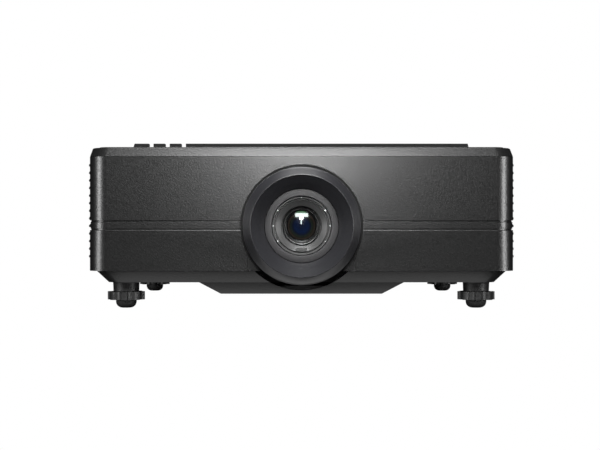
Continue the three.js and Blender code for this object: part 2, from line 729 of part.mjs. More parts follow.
const MOUNT_PLATE_Y = BARREL_SHOULDER;
const CARRIAGE_Y = MOUNT_PLATE_Y + PLATE + SEAM;
const SHIFT_BASE_Y = CARRIAGE_Y + PLATE + SEAM;
const ENGINE_Y = SHIFT_BASE_Y + PLATE + SEAM;

function mountPlate() {
  const [w, h] = [MOUNT_PLATE_HALF_WIDTH, MOUNT_PLATE_HALF_HEIGHT];
  const hole = diskY(BARREL_TAIL_RADIUS + SEAM, 0, SHIFT_BASE_Y, 0, 0, 40);
  return block(-w, w, MOUNT_PLATE_Y, MOUNT_PLATE_Y + PLATE, -h, h).subtract(hole);
}

// plate that rises and falls, with rails above and below the mount plate
function verticalCarriage() {
  const [w, h] = [CARRIAGE_HALF_WIDTH, CARRIAGE_HALF_HEIGHT];
  const plate = block(-w, w, CARRIAGE_Y, CARRIAGE_Y + PLATE, -h, h);
  const inside = MOUNT_PLATE_HALF_HEIGHT + RUNNING_GAP;
  const upper = block(-w, w, MOUNT_PLATE_Y, CARRIAGE_Y + 1, inside, inside + RAIL);
  const lower = block(-w, w, MOUNT_PLATE_Y, CARRIAGE_Y + 1, -inside - RAIL, -inside);
  const holeRadius = BARREL_TAIL_RADIUS + LENS_SHIFT_X + 2;
  const hole = diskY(holeRadius, 0, SHIFT_BASE_Y + PLATE, 0, 0, 40);
  return plate.add(upper).add(lower).subtract(hole);
}

// fixed plate with rails at the sides of the carriage
function shiftBase() {
  const w = CARRIAGE_HALF_WIDTH + RUNNING_GAP + RAIL;
  const bottom = FLOOR_TOP_Z + 1 - LENS_Z;
  const top = SHIFT_BASE_ABOVE_AXIS;
  const plate = block(-w, w, SHIFT_BASE_Y, SHIFT_BASE_Y + PLATE, bottom, top);
  const left = block(-w, -w + RAIL, CARRIAGE_Y, SHIFT_BASE_Y + 1, bottom, top);
  const right = block(w - RAIL, w, CARRIAGE_Y, SHIFT_BASE_Y + 1, bottom, top);
  const holeRadius = BARREL_TAIL_RADIUS + LENS_SHIFT_X + 4;
  const hole = diskY(holeRadius, 0, ENGINE_Y, 0, 0, 40);
  return plate.add(left).add(right).subtract(hole);
}

// motor with its gearbox and screw housing, lying along X about its own middle
function shiftMotor() {
  const r = SHIFT_MOTOR_RADIUS;
  const body = cylinderX(r, -26, 6, 24);
  const gearbox = block(6, 26, -r, r, -r, r);
  return body.add(gearbox);
}

function addLensShift() {
  addPiece("lens_mount_plate", mountPlate(), "castAluminium", [0, 0, 0], lens);
  addPiece("vertical_carriage", verticalCarriage(), "castAluminium", [0, 0, 0], lens);
  addPiece("shift_base", shiftBase(), "castAluminium", [0, 0, 0], lens);
  const motorY = MOUNT_PLATE_Y - SHIFT_MOTOR_RADIUS - SEAM;
  const railZ = MOUNT_PLATE_HALF_HEIGHT + RUNNING_GAP + RAIL / 2;
  addPiece("horizontal_shift_motor", shiftMotor(), "sheetSteel", [-60, motorY, railZ], lens);
  const verticalMotor = addPiece("vertical_shift_motor", shiftMotor(), "sheetSteel", [0, 0, 0], lens);
  const sideRailX = CARRIAGE_HALF_WIDTH + RUNNING_GAP + RAIL / 2;
  verticalMotor.rotation.y = -Math.PI / 2;
  verticalMotor.position.set(sideRailX, CARRIAGE_Y - SHIFT_MOTOR_RADIUS - SEAM, 10);
}

// ---------- light engine ----------

const ENGINE_BOTTOM = FLOOR_TOP_Z + SEAM;
const ENGINE_REAR = ENGINE_Y + ENGINE_LENGTH;
const LASER_Y = ENGINE_Y + 20;
const LASER_X = ENGINE_RIGHT + SEAM;

function engineHousing() {
  const top = ENGINE_BOTTOM + ENGINE_HEIGHT;
  const t = ENGINE_WALL;
  const shell = block(ENGINE_LEFT, ENGINE_RIGHT, ENGINE_Y, ENGINE_REAR, ENGINE_BOTTOM, top);
  const cavity = block(
    ENGINE_LEFT + t, ENGINE_RIGHT - t, ENGINE_Y + t, ENGINE_REAR - t, ENGINE_BOTTOM + t, top + 1,
  );
  const lensHole = diskY(BARREL_TAIL_RADIUS + LENS_SHIFT_X + 4, ENGINE_Y - 1, ENGINE_Y + t + 1, 0, LENS_Z, 40);
  const halfW = IMAGER_WIDTH / 2 + 4;
  const halfH = IMAGER_HEIGHT / 2 + 4;
  const imagerHole = block(-halfW, halfW, ENGINE_REAR - t - 1, ENGINE_REAR + 1, LENS_Z - halfH, LENS_Z + halfH);
  const laserPort = cylinderX(12, ENGINE_RIGHT - t - 1, ENGINE_RIGHT + 1, 24);
  const portY = LASER_Y + LASER_LENGTH / 2;
  const port = laserPort.translate([0, portY, LENS_Z]);
  return shell.subtract(cavity).subtract(lensHole).subtract(imagerHole).subtract(port);
}

// parallel fins on a base plate: the base lies in X and Z, the fins stand back along Y
function finnedSink(width, height) {
  let sink = block(-width / 2, width / 2, 0, SINK_BASE, -height / 2, height / 2);
  const count = Math.floor((width - FIN_THICKNESS) / FIN_PITCH) + 1;
  const first = (-(count - 1) * FIN_PITCH) / 2;
  for (let i = 0; i < count; i += 1) {
    const x = first + i * FIN_PITCH;
    const half = FIN_THICKNESS / 2;
    sink = sink.add(block(x - half, x + half, SINK_BASE - 1, SINK_BASE + FIN_HEIGHT, -height / 2, height / 2));
  }
  return sink;
}

function addLightEngine() {
  addPiece("engine_housing", engineHousing(), "castAluminium");
  const prismRear = ENGINE_REAR - ENGINE_WALL - SEAM;
  const half = PRISM_SIZE / 2;
  const wedge = outline([
    [-half, prismRear - PRISM_SIZE],
    [half, prismRear],
    [-half, prismRear],
  ]);
  addPiece("prism", prismZ(wedge, LENS_Z - half, LENS_Z + half), "coatedGlass");
  const boardY = ENGINE_REAR + SEAM;
  const board = block(-50, 50, boardY, boardY + BOARD, -45, 50);
  const imager = block(
    -IMAGER_WIDTH / 2, IMAGER_WIDTH / 2, ENGINE_REAR - ENGINE_WALL + SEAM, boardY + 0.5,
    -IMAGER_HEIGHT / 2, IMAGER_HEIGHT / 2,
  );
  addPiece("imager_board", board.add(imager), "boardGreen", [0, 0, LENS_Z]);
  const sinkY = boardY + BOARD + SEAM;
  addPiece("imager_heatsink", finnedSink(70, 70), "castAluminium", [0, sinkY, LENS_Z]);
  const laserRight = LASER_X + LASER_WIDTH;
  const laser = block(
    LASER_X, laserRight, LASER_Y, LASER_Y + LASER_LENGTH, LENS_Z - LASER_HEIGHT / 2, LENS_Z + LASER_HEIGHT / 2,
  );
  addPiece("laser_module", laser, "sheetSteel");
  const laserSink = addPiece("laser_heatsink", finnedSink(LASER_LENGTH, LASER_HEIGHT + 14), "castAluminium");
  laserSink.rotation.z = -Math.PI / 2;
  laserSink.position.set(laserRight + SEAM, LASER_Y + LASER_LENGTH / 2, LENS_Z);
  const wheelY = ENGINE_REAR - 40;
  const hub = diskY(WHEEL_RADIUS * 0.45, wheelY - 2, wheelY + 3, 0, 0, 16);
  const wheel = diskY(WHEEL_RADIUS, wheelY, wheelY + 1.5, 0, 0, 28).add(hub);
  addPiece("phosphor_wheel", wheel, "wheelYellow", [WHEEL_X, 0, LENS_Z]);
  const motorStart = wheelY + 3 + RUNNING_GAP;
  const motor = diskY(WHEEL_RADIUS * 0.5, motorStart, prismRear, 0, 0, 24);
  addPiece("phosphor_motor", motor, "sheetSteel", [WHEEL_X, 0, LENS_Z]);
}

// ---------- fans ----------

function fanFrame() {
  const half = FAN_SIZE / 2;
  const frame = block(-FAN_DEPTH / 2, FAN_DEPTH / 2, -half, half, -half, half);
  const bore = cylinderX(FAN_BORE_RADIUS, -FAN_DEPTH, FAN_DEPTH, 40);
  const backPlate = FAN_DEPTH / 2;
  const hub = cylinderX(FAN_HUB_RADIUS, backPlate - 3, backPlate, 24);
  let struts = block(backPlate - 3, backPlate, -FAN_BORE_RADIUS - 1, FAN_BORE_RADIUS + 1, -2, 2);
  struts = struts.add(block(backPlate - 3, backPlate, -2, 2, -FAN_BORE_RADIUS - 1, FAN_BORE_RADIUS + 1));
  return frame.subtract(bore).add(hub).add(struts);
}

function fanRotor() {
  const front = -FAN_DEPTH / 2 + 1;
  const back = FAN_DEPTH / 2 - 3 - RUNNING_GAP - 0.6;
  let rotor = cylinderX(FAN_HUB_RADIUS, front, back, 24);
  const bladeTip = FAN_BORE_RADIUS - 1.5;
  for (let i = 0; i < FAN_BLADES; i += 1) {
    const root = FAN_HUB_RADIUS - 2;
    const blade = block(-9, 9, -0.8, 0.8, root, bladeTip).rotate([0, 0, 38]);
    const middle = (front + back) / 2;
    rotor = rotor.add(blade.translate([middle, 0, 0]).rotate([(360 * i) / FAN_BLADES, 0, 0]));
  }
  return rotor;
}

function addFans() {
  const x = HALF_WIDTH - WALL - SEAM - FAN_DEPTH / 2;
  const y = LASER_Y + LASER_LENGTH / 2;
  const frame = fanFrame();
  const rotor = fanRotor();
  addPiece("exhaust_fan_frame", frame, "fanBlack", [x, y, LENS_Z]);
  addPiece("exhaust_fan_rotor", rotor, "fanBlack", [x, y, LENS_Z]);
  addPiece("intake_fan_frame", frame, "fanBlack", [-x, y, LENS_Z]);
  addPiece("intake_fan_rotor", rotor, "fanBlack", [-x, y, LENS_Z]);
}

// ---------- electronics ----------

const REAR_FACE = CASE_DEPTH;
const BOARD_Z = FLOOR_TOP_Z + BOARD_HEIGHT;
const SOCKET_Z = BOARD_Z + BOARD + SEAM;
const SOCKET_FRONT = REAR_FACE - 18;

// sockets on the main board: middle in X, outer size, size of the mouth and its depth
const BOARD_SOCKETS = [
  { name: "hdmi_socket_a", x: 60, w: 16.4, h: 7.4, mouthW: 14, mouthH: 5, depth: 12, finish: "socketSteel" },
  { name: "hdmi_socket_b", x: 88, w: 16.4, h: 7.4, mouthW: 14, mouthH: 5, depth: 12, finish: "socketSteel" },
  { name: "network_socket", x: 124, w: 16, h: 13.6, mouthW: 12, mouthH: 9, depth: 13, finish: "socketSteel" },
  { name: "usb_socket", x: 158, w: 14.6, h: 7.4, mouthW: 12.6, mouthH: 5.2, depth: 13, finish: "socketSteel" },
];
const INLET = { x: -170, z: SEAM_Z + 44, w: 30, h: 24, mouthW: 24.4, mouthH: 17, depth: 16 };
const ROCKER = { x: -128, w: 13, h: 20, proud: 2.4, travelDegrees: 8 };

function socketBody(socket, zMiddle) {
  const outer = block(
    socket.x - socket.w / 2, socket.x + socket.w / 2, SOCKET_FRONT, REAR_FACE,
    zMiddle - socket.h / 2, zMiddle + socket.h / 2,
  );
  const mouth = block(
    socket.x - socket.mouthW / 2, socket.x + socket.mouthW / 2, REAR_FACE - socket.depth, REAR_FACE + 1,
    zMiddle - socket.mouthH / 2, zMiddle + socket.mouthH / 2,
  );
  return outer.subtract(mouth);
}

function socketHole(socket, zMiddle) {
  const halfW = socket.w / 2 + SOCKET_GAP;
  const halfH = socket.h / 2 + SOCKET_GAP;
  return block(
    socket.x - halfW, socket.x + halfW, REAR_PANEL_Y - BEYOND, REAR_FACE + 1,
    zMiddle - halfH, zMiddle + halfH,
  );
}

// rocker with a round back, turning on an axis along X just inside the rear panel
const ROCKER_PIVOT_Y = REAR_FACE - WALL - 5;
const ROCKER_BACK = 6;

function rockerKey() {
  const half = ROCKER.w / 2;
  const swing = THREE.MathUtils.degToRad(ROCKER.travelDegrees);
  const reach = REAR_FACE + ROCKER.proud - ROCKER_PIVOT_Y;
  const low = ROCKER.h / 2 - 1;
  const profile = outline([
    [-ROCKER_BACK, -5],
    [-ROCKER_BACK, 5],
    [reach - low * Math.tan(swing), low],
    [reach, 0],
    [reach - low * Math.tan(swing), -low],
  ]);
  const geometry = new THREE.ExtrudeGeometry(profile, { depth: ROCKER.w, bevelEnabled: false });
  const turn = new THREE.Matrix4().makeBasis(
    new THREE.Vector3(0, 1, 0),
    new THREE.Vector3(0, 0, 1),
    new THREE.Vector3(1, 0, 0),
  );
  geometry.applyMatrix4(turn);
  geometry.translate(-half, 0, 0);
  return solid(geometry);
}

// the inlet's body carries the plate behind the rocker
function inletWithSwitchFrame() {
  const plateX0 = INLET.x + INLET.w / 2 - 1;
  const plateX1 = ROCKER.x + ROCKER.w / 2;
  const plateRear = ROCKER_PIVOT_Y - ROCKER_BACK - 1.4;
  const plate = block(
    plateX0, plateX1, SOCKET_FRONT + 0.5, plateRear, INLET.z - ROCKER.h / 2, INLET.z + ROCKER.h / 2,
  );
  return socketBody(INLET, INLET.z).add(plate);
}

function addElectronics() {
  const boardFront = ENGINE_REAR + SINK_BASE + FIN_HEIGHT + 30;
  const board = block(-50, HALF_WIDTH - 16, boardFront, SOCKET_FRONT + 14, BOARD_Z, BOARD_Z + BOARD);
  let pillars = block(-44, -38, boardFront + 8, boardFront + 14, FLOOR_TOP_Z + SEAM, BOARD_Z + 0.5);
  pillars = pillars.add(block(60, 66, boardFront + 8, boardFront + 14, FLOOR_TOP_Z + SEAM, BOARD_Z + 0.5));
  pillars = pillars.add(block(-44, -38, SOCKET_FRONT - 14, SOCKET_FRONT - 8, FLOOR_TOP_Z + SEAM, BOARD_Z + 0.5));
  pillars = pillars.add(block(60, 66, SOCKET_FRONT - 14, SOCKET_FRONT - 8, FLOOR_TOP_Z + SEAM, BOARD_Z + 0.5));
  addPiece("main_board", board.add(pillars), "boardGreen");
  const supplyRear = SOCKET_FRONT - 12;
  const left = -REAR_FOOT_X + FOOT_BOSS_RADIUS + 2;
  const bottom = FLOOR_TOP_Z + SEAM;
  const supply = block(left, left + SUPPLY_WIDTH, supplyRear - SUPPLY_LENGTH, supplyRear, bottom, bottom + SUPPLY_HEIGHT);
  const inside = block(
    left + 2, left + SUPPLY_WIDTH - 2, supplyRear - SUPPLY_LENGTH - 1, supplyRear - 2,
    bottom + 2, bottom + SUPPLY_HEIGHT - 2,
  );
  addPiece("power_supply", supply.subtract(inside), "sheetSteel");
  for (const socket of BOARD_SOCKETS) {
    addPiece(socket.name, socketBody(socket, SOCKET_Z + socket.h / 2), socket.finish);
  }
  addPiece("ac_inlet", inletWithSwitchFrame(), "socketBlack");
  addPiece("power_rocker", rockerKey(), "socketBlack", [ROCKER.x, ROCKER_PIVOT_Y, INLET.z]);
}

// ---------- keypad and rear panel ----------

const KEYPAD_Z = SEAM_Z + KEYPAD_ABOVE_SEAM;

// keys: place from the middle of the keypad, and size
const KEYS = [
  { name: "power_button", x: 44, z: 0, w: 14, h: 14 },
  { name: "menu_button", x: 20, z: 11, w: 14, h: 7 },
  { name: "source_button", x: 20, z: -11, w: 14, h: 7 },
  { name: "up_button", x: -22, z: 12.5, w: 12, h: 7 },
  { name: "down_button", x: -22, z: -12.5, w: 12, h: 7 },
  { name: "left_button", x: -36, z: 0, w: 7, h: 12 },
  { name: "right_button", x: -8, z: 0, w: 7, h: 12 },
  { name: "enter_button", x: -22, z: 0, w: 12, h: 10 },
];

function keyOpenings(y0, y1, gap) {
  let openings = null;
  for (const key of KEYS) {
    const halfW = key.w / 2 + gap;
    const halfH = key.h / 2 + gap;
    const opening = block(
      KEYPAD_X + key.x - halfW, KEYPAD_X + key.x + halfW, y0, y1,
      KEYPAD_Z + key.z - halfH, KEYPAD_Z + key.z + halfH,
    );
    openings = openings ? openings.add(opening) : opening;
  }
  return openings;
}

function keyCap(key) {
  const wallBack = REAR_FACE - WALL;
  const flangeFront = wallBack - SEAM;
  const flangeBack = flangeFront - KEY_FLANGE;
  const cap = block(-key.w / 2, key.w / 2, flangeBack, REAR_FACE + KEY_PROUD, -key.h / 2, key.h / 2);
  const flangeW = key.w / 2 + 1;
  const flangeH = key.h / 2 + 1;
  return cap.add(block(-flangeW, flangeW, flangeBack, flangeFront, -flangeH, flangeH));
}

function addRear(walls) {
  const region = block(-CASE_WIDTH, CASE_WIDTH, REAR_PANEL_Y, CASE_DEPTH + BEYOND, 0, TOP_Z);
  let panel = walls.intersect(region);
  for (const socket of BOARD_SOCKETS) {
    panel = panel.subtract(socketHole(socket, SOCKET_Z + socket.h / 2));
  }
  panel = panel.subtract(socketHole(INLET, INLET.z));
  panel = panel.subtract(socketHole(ROCKER, INLET.z));
  panel = panel.subtract(keyOpenings(REAR_PANEL_Y - BEYOND, CASE_DEPTH + 1, RUNNING_GAP));
  addPiece("rear_panel", panel, "caseBlack");
  const plateY0 = CASE_DEPTH + SEAM;
  const plateY1 = plateY0 + KEYPAD_THICKNESS;
  const plate = block(
    KEYPAD_X - KEYPAD_WIDTH / 2, KEYPAD_X + KEYPAD_WIDTH / 2, plateY0, plateY1,
    KEYPAD_Z - KEYPAD_HEIGHT / 2, KEYPAD_Z + KEYPAD_HEIGHT / 2,
  );
  addPiece("keypad_plate", plate.subtract(keyOpenings(plateY0 - 1, plateY1 + 1, RUNNING_GAP)), "panBlack");
  for (const key of KEYS) {
    addPiece(key.name, keyCap(key), "keyGrey", [KEYPAD_X + key.x, 0, KEYPAD_Z + key.z]);
  }
}

// ---------- assembly ----------

function addCase() {
  const walls = wallsBetweenSeams();
  frontPieces(walls);
  addPiece("left_side_cover", sideCover(walls, -1), "louvreBlack");
  addPiece("right_side_cover", sideCover(walls, 1), "louvreBlack");
  addPiece("top_cover", topCover(), "caseBlack");
  addPiece("top_ridge", topRidge(), "louvreBlack");
  addPiece("bottom_pan", bottomPan(), "panBlack");
  addRear(walls);
}

addCase();
addFeet();
addLens();
addLensShift();
addLightEngine();
addFans();
addElectronics();

export default projector;
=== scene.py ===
"""Looks of a centred-lens video projector: rounded case, louvred sides, deep lens ring and screw feet."""
import json
import math

import bmesh
import bpy
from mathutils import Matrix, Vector


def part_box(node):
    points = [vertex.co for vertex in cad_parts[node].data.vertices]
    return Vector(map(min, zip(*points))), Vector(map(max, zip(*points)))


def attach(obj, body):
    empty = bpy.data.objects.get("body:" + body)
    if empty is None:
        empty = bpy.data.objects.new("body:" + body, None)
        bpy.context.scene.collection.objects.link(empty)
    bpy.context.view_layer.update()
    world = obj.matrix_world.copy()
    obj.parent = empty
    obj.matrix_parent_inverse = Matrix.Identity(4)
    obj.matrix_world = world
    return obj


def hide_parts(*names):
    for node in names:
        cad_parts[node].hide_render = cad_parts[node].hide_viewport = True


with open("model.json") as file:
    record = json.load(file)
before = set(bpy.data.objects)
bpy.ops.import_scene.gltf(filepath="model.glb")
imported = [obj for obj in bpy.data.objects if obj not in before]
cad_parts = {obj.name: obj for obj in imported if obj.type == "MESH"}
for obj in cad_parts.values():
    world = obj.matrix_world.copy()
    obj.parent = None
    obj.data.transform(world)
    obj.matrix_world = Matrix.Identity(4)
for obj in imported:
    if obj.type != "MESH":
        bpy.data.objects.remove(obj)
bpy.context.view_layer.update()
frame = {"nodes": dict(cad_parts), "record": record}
MM = 0.001

# ---------- places taken from the frame ----------

bezel_low, bezel_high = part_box("front_bezel")
FACE_Y = bezel_low.y
SEAM_Z = bezel_low.z
TOP_SEAM_Z = bezel_high.z
HALF_WIDTH = bezel_high.x
BEZEL_END = bezel_high.y
REAR_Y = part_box("rear_panel")[1].y
lid_low, lid_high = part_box("top_cover")
PAN_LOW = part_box("bottom_pan")[0].z
ring_low, ring_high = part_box("lens_surround_ring")
AXIS_Z = (ring_low.z + ring_high.z) / 2

# ---------- sizes of the finished surfaces ----------

WALL = 3 * MM
FRONT_RADIUS = 22 * MM
REAR_RADIUS = 8 * MM
LEDGE = 14 * MM
BELT_LOW = SEAM_Z + 47.9 * MM
BELT_HIGH = BELT_LOW + 7.9 * MM
BELT_RECESS = 0.7 * MM
LOWER_TILT = 0.036
GROOVE_WIDTH = 1.5 * MM
GROOVE_DEPTH = 2.2 * MM
BEZEL_HOLE = 57 * MM
TRIM_HALF = 61 * MM
TRIM_HEIGHT = 33.7 * MM
SEAM_GAP = 0.3 * MM
GROOVE_INNER = 66.9 * MM  # the round groove in the face, outside the lens surround
GROOVE_OUTER = 69.6 * MM
ROUND_GROOVE_DEPTH = 2.0 * MM
SLOPED_RIM = 8 * MM  # how far behind the face the tilt of the lower panel reaches
LID_SIDE_SETBACK = 2.5 * MM
LID_END_SETBACK = 8 * MM
LID_RIM = 12 * MM
RIDGE_END_SLANT = 2 * MM
FIRST_NOTCH = -176 * MM
NOTCH_PITCH = 19 * MM
NOTCH_WIDTH = 5.3 * MM
PAN_DEPTH = 13.6 * MM
PAN_INSET = 8 * MM
PAN_FLOOR_INSET = 20 * MM
RECESS_RADIUS = 74 * MM
EDGE = 0.45 * MM

# ---------- modelling helpers ----------


def only(piece):
    """Selects one piece and nothing else."""
    bpy.ops.object.select_all(action="DESELECT")
    piece.select_set(True)
    bpy.context.view_layer.objects.active = piece


def settle(piece, name):
    """Puts a piece's place, turn and size into its mesh."""
    only(piece)
    bpy.ops.object.transform_apply(location=True, rotation=True, scale=True)
    piece.name = name
    piece.data.name = name
    return piece


def block(name, low, high):
    low, high = Vector(low), Vector(high)
    bpy.ops.object.select_all(action="DESELECT")
    bpy.ops.mesh.primitive_cube_add(size=1, location=(low + high) / 2)
    piece = bpy.context.object
    piece.scale = high - low
    return settle(piece, name)


TURN = {"X": (0, math.pi / 2, 0), "Y": (math.pi / 2, 0, 0), "Z": (0, 0, 0)}


def rod(name, radius, start, end, axis="Y", across=(0, 0), sides=64):
    """A round bar along one axis, from start to end, at a place across it."""
    middle = (start + end) / 2
    a, b = across
    place = {"X": (middle, a, b), "Y": (a, middle, b), "Z": (a, b, middle)}[axis]
    bpy.ops.object.select_all(action="DESELECT")
    bpy.ops.mesh.primitive_cylinder_add(
        vertices=sides, radius=radius, depth=end - start, location=place, rotation=TURN[axis]
    )
    return settle(bpy.context.object, name)


def turned(name, profile, steps=96, axis="Y", centre=(0, 0, 0)):
    """A closed profile of (radius, along) points, spun round an axis through a centre."""
    bpy.ops.object.select_all(action="DESELECT")
    bpy.ops.mesh.primitive_circle_add(vertices=len(profile), radius=1)
    piece = bpy.context.object
    for vertex, (radius, along) in zip(piece.data.vertices, profile):
        vertex.co = (radius, along, 0) if axis == "Y" else (radius, 0, along)
    bpy.ops.object.mode_set(mode="EDIT")
    bpy.ops.mesh.select_all(action="SELECT")
    direction = (0, 1, 0) if axis == "Y" else (0, 0, 1)
    bpy.ops.mesh.spin(steps=steps, angle=2 * math.pi, center=(0, 0, 0), axis=direction)
    bpy.ops.mesh.select_all(action="SELECT")
    bpy.ops.mesh.remove_doubles(threshold=1e-6)
    bpy.ops.mesh.normals_make_consistent(inside=False)
    bpy.ops.object.mode_set(mode="OBJECT")
    piece.location = centre
    return settle(piece, name)


def round_edges(piece, radius, segments, chosen):
    """Rounds the edges that a test on their two ends picks."""
    only(piece)
    bpy.ops.object.mode_set(mode="EDIT")
    bpy.ops.mesh.select_mode(type="EDGE")
    bpy.ops.mesh.select_all(action="DESELECT")
    mesh = bmesh.from_edit_mesh(piece.data)
    for edge in mesh.edges:
        edge.select_set(bool(chosen(edge.verts[0].co, edge.verts[1].co)))
    bmesh.update_edit_mesh(piece.data)
    bpy.ops.mesh.bevel(offset=radius, segments=segments, profile=0.5)
    bpy.ops.object.mode_set(mode="OBJECT")
    return piece


def combine(piece, tool, operation):
    """Cuts, joins or keeps what lies in a tool piece, which is then removed."""
    only(piece)
    change = piece.modifiers.new("change", "BOOLEAN")
    change.operation = operation
    change.solver = "EXACT"
    change.object = tool
    bpy.ops.object.modifier_apply(modifier="change")
    bpy.data.objects.remove(tool, do_unlink=True)
    return piece


def cut(piece, tool):
    return combine(piece, tool, "DIFFERENCE")


def join(piece, tool):
    return combine(piece, tool, "UNION")


def keep(piece, tool):
    return combine(piece, tool, "INTERSECT")


def gather(name, parts):
    """One piece made of several that don't touch."""
    bpy.ops.object.select_all(action="DESELECT")
    for part in parts:
        part.select_set(True)
    bpy.context.view_layer.objects.active = parts[0]
    if len(parts) > 1:
        bpy.ops.object.join()
    piece = bpy.context.object
    piece.name = name
    piece.data.name = name
    return piece


def twin(piece, name, offset=(0, 0, 0), flip_x=False):
    """A copy with its own mesh, moved or mirrored across the middle."""
    other = piece.copy()
    other.data = piece.data.copy()
    bpy.context.collection.objects.link(other)
    other.location = offset
    if flip_x:
        other.scale.x = -1
    settle(other, name)
    if flip_x:
        bpy.ops.object.mode_set(mode="EDIT")
        bpy.ops.mesh.select_all(action="SELECT")
        bpy.ops.mesh.normals_make_consistent(inside=False)
        bpy.ops.object.mode_set(mode="OBJECT")
    return other


def soften(piece, width=EDGE, segments=2, angle=32):
    """Rounds every crisp edge a little and shades the piece smoothly between flats."""
    only(piece)
    edge = piece.modifiers.new("edge", "BEVEL")
    edge.width = width
    edge.segments = segments
    edge.limit_method = "ANGLE"
    edge.angle_limit = math.radians(angle)
    edge.miter_outer = "MITER_ARC"
    bpy.ops.object.modifier_apply(modifier="edge")
    bpy.ops.object.shade_smooth_by_angle(angle=math.radians(38))
    even = piece.modifiers.new("even", "WEIGHTED_NORMAL")
    even.keep_sharp = True
    bpy.ops.object.modifier_apply(modifier="even")
    return piece


def finish_piece(piece, material, body, *nodes, slot=None):
    """Gives a piece its material and body, and hides the CAD nodes that it stands for; the slot argument is
    not used.
    """
    piece.data.materials.clear()
    piece.data.materials.append(material)
    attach(piece, body)
    if nodes:
        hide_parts(*nodes)
    return piece


# ---------- material effects ----------


def new_group(name, inputs, outputs):
    group = bpy.data.node_groups.new(name, "ShaderNodeTree")
    for label, kind, value in inputs:
        socket = group.interface.new_socket(label, in_out="INPUT", socket_type=kind)
        if value is not None:
            socket.default_value = value
    for label, kind in outputs:
        group.interface.new_socket(label, in_out="OUTPUT", socket_type=kind)
    return group, group.nodes.new("NodeGroupInput"), group.nodes.new("NodeGroupOutput")


FLOAT = "NodeSocketFloat"


def moulded_grain_group():
    """Fine spark-eroded grain: a height, and a mask that shifts gloss and shade over it."""
    inputs = [("Grain Scale", FLOAT, 1400.0), ("Mottle Scale", FLOAT, 60.0), ("Seed", FLOAT, 0.0)]
    group, given, out = new_group(
        "moulded_grain", inputs, [("Height", FLOAT), ("Speckle", FLOAT), ("Mottle", FLOAT)],
    )
    nodes, links = group.nodes, group.links
    place = nodes.new("ShaderNodeTexCoord")
    fine = nodes.new("ShaderNodeTexNoise")
    fine.noise_dimensions = "4D"
    fine.inputs["Detail"].default_value = 2.0
    fine.inputs["Roughness"].default_value = 0.6
    coarse = nodes.new("ShaderNodeTexNoise")
    coarse.noise_dimensions = "4D"
    coarse.inputs["Detail"].default_value = 3.0
    pits = nodes.new("ShaderNodeTexVoronoi")
    pits.inputs["Randomness"].default_value = 1.0
    for texture, scale in ((fine, "Grain Scale"), (coarse, "Mottle Scale"), (pits, "Grain Scale")):
        links.new(place.outputs["Object"], texture.inputs["Vector"])
        links.new(given.outputs[scale], texture.inputs["Scale"])
    for texture in (fine, coarse):
        links.new(given.outputs["Seed"], texture.inputs["W"])
    blend = nodes.new("ShaderNodeMath")
    blend.operation = "MULTIPLY_ADD"
    blend.inputs[1].default_value = 0.6
    links.new(pits.outputs["Distance"], blend.inputs[0])
    links.new(fine.outputs["Fac"], blend.inputs[2])
    links.new(blend.outputs[0], out.inputs["Height"])
    links.new(fine.outputs["Fac"], out.inputs["Speckle"])
    links.new(coarse.outputs["Fac"], out.inputs["Mottle"])
    return group


def edge_wear_group():
    """Where the surface turns sharply, broken up by noise: handled edges go a little paler."""
    inputs = [("Width", FLOAT, 0.0006), ("Amount", FLOAT, 0.4)]
    group, given, out = new_group("edge_wear", inputs, [("Mask", FLOAT)])
    nodes, links = group.nodes, group.links
    rounded = nodes.new("ShaderNodeBevel")
    rounded.samples = 3
    links.new(given.outputs["Width"], rounded.inputs["Radius"])
    plain = nodes.new("ShaderNodeNewGeometry")
    match = nodes.new("ShaderNodeVectorMath")
    match.operation = "DOT_PRODUCT"
    links.new(rounded.outputs["Normal"], match.inputs[0])
    links.new(plain.outputs["Normal"], match.inputs[1])
    turn = nodes.new("ShaderNodeMapRange")
    turn.inputs["From Min"].default_value = 0.995
    turn.inputs["From Max"].default_value = 0.86
    links.new(match.outputs["Value"], turn.inputs["Value"])
    place = nodes.new("ShaderNodeTexCoord")
    broken = nodes.new("ShaderNodeTexNoise")
    broken.inputs["Scale"].default_value = 140.0
    links.new(place.outputs["Object"], broken.inputs["Vector"])
    patch = nodes.new("ShaderNodeMath")
    patch.operation = "MULTIPLY"
    links.new(turn.outputs["Result"], patch.inputs[0])
    links.new(broken.outputs["Fac"], patch.inputs[1])
    scaled = nodes.new("ShaderNodeMath")
    scaled.operation = "MULTIPLY"
    scaled.use_clamp = True
    links.new(patch.outputs[0], scaled.inputs[0])
    links.new(given.outputs["Amount"], scaled.inputs[1])
    links.new(scaled.outputs[0], out.inputs["Mask"])
    return group


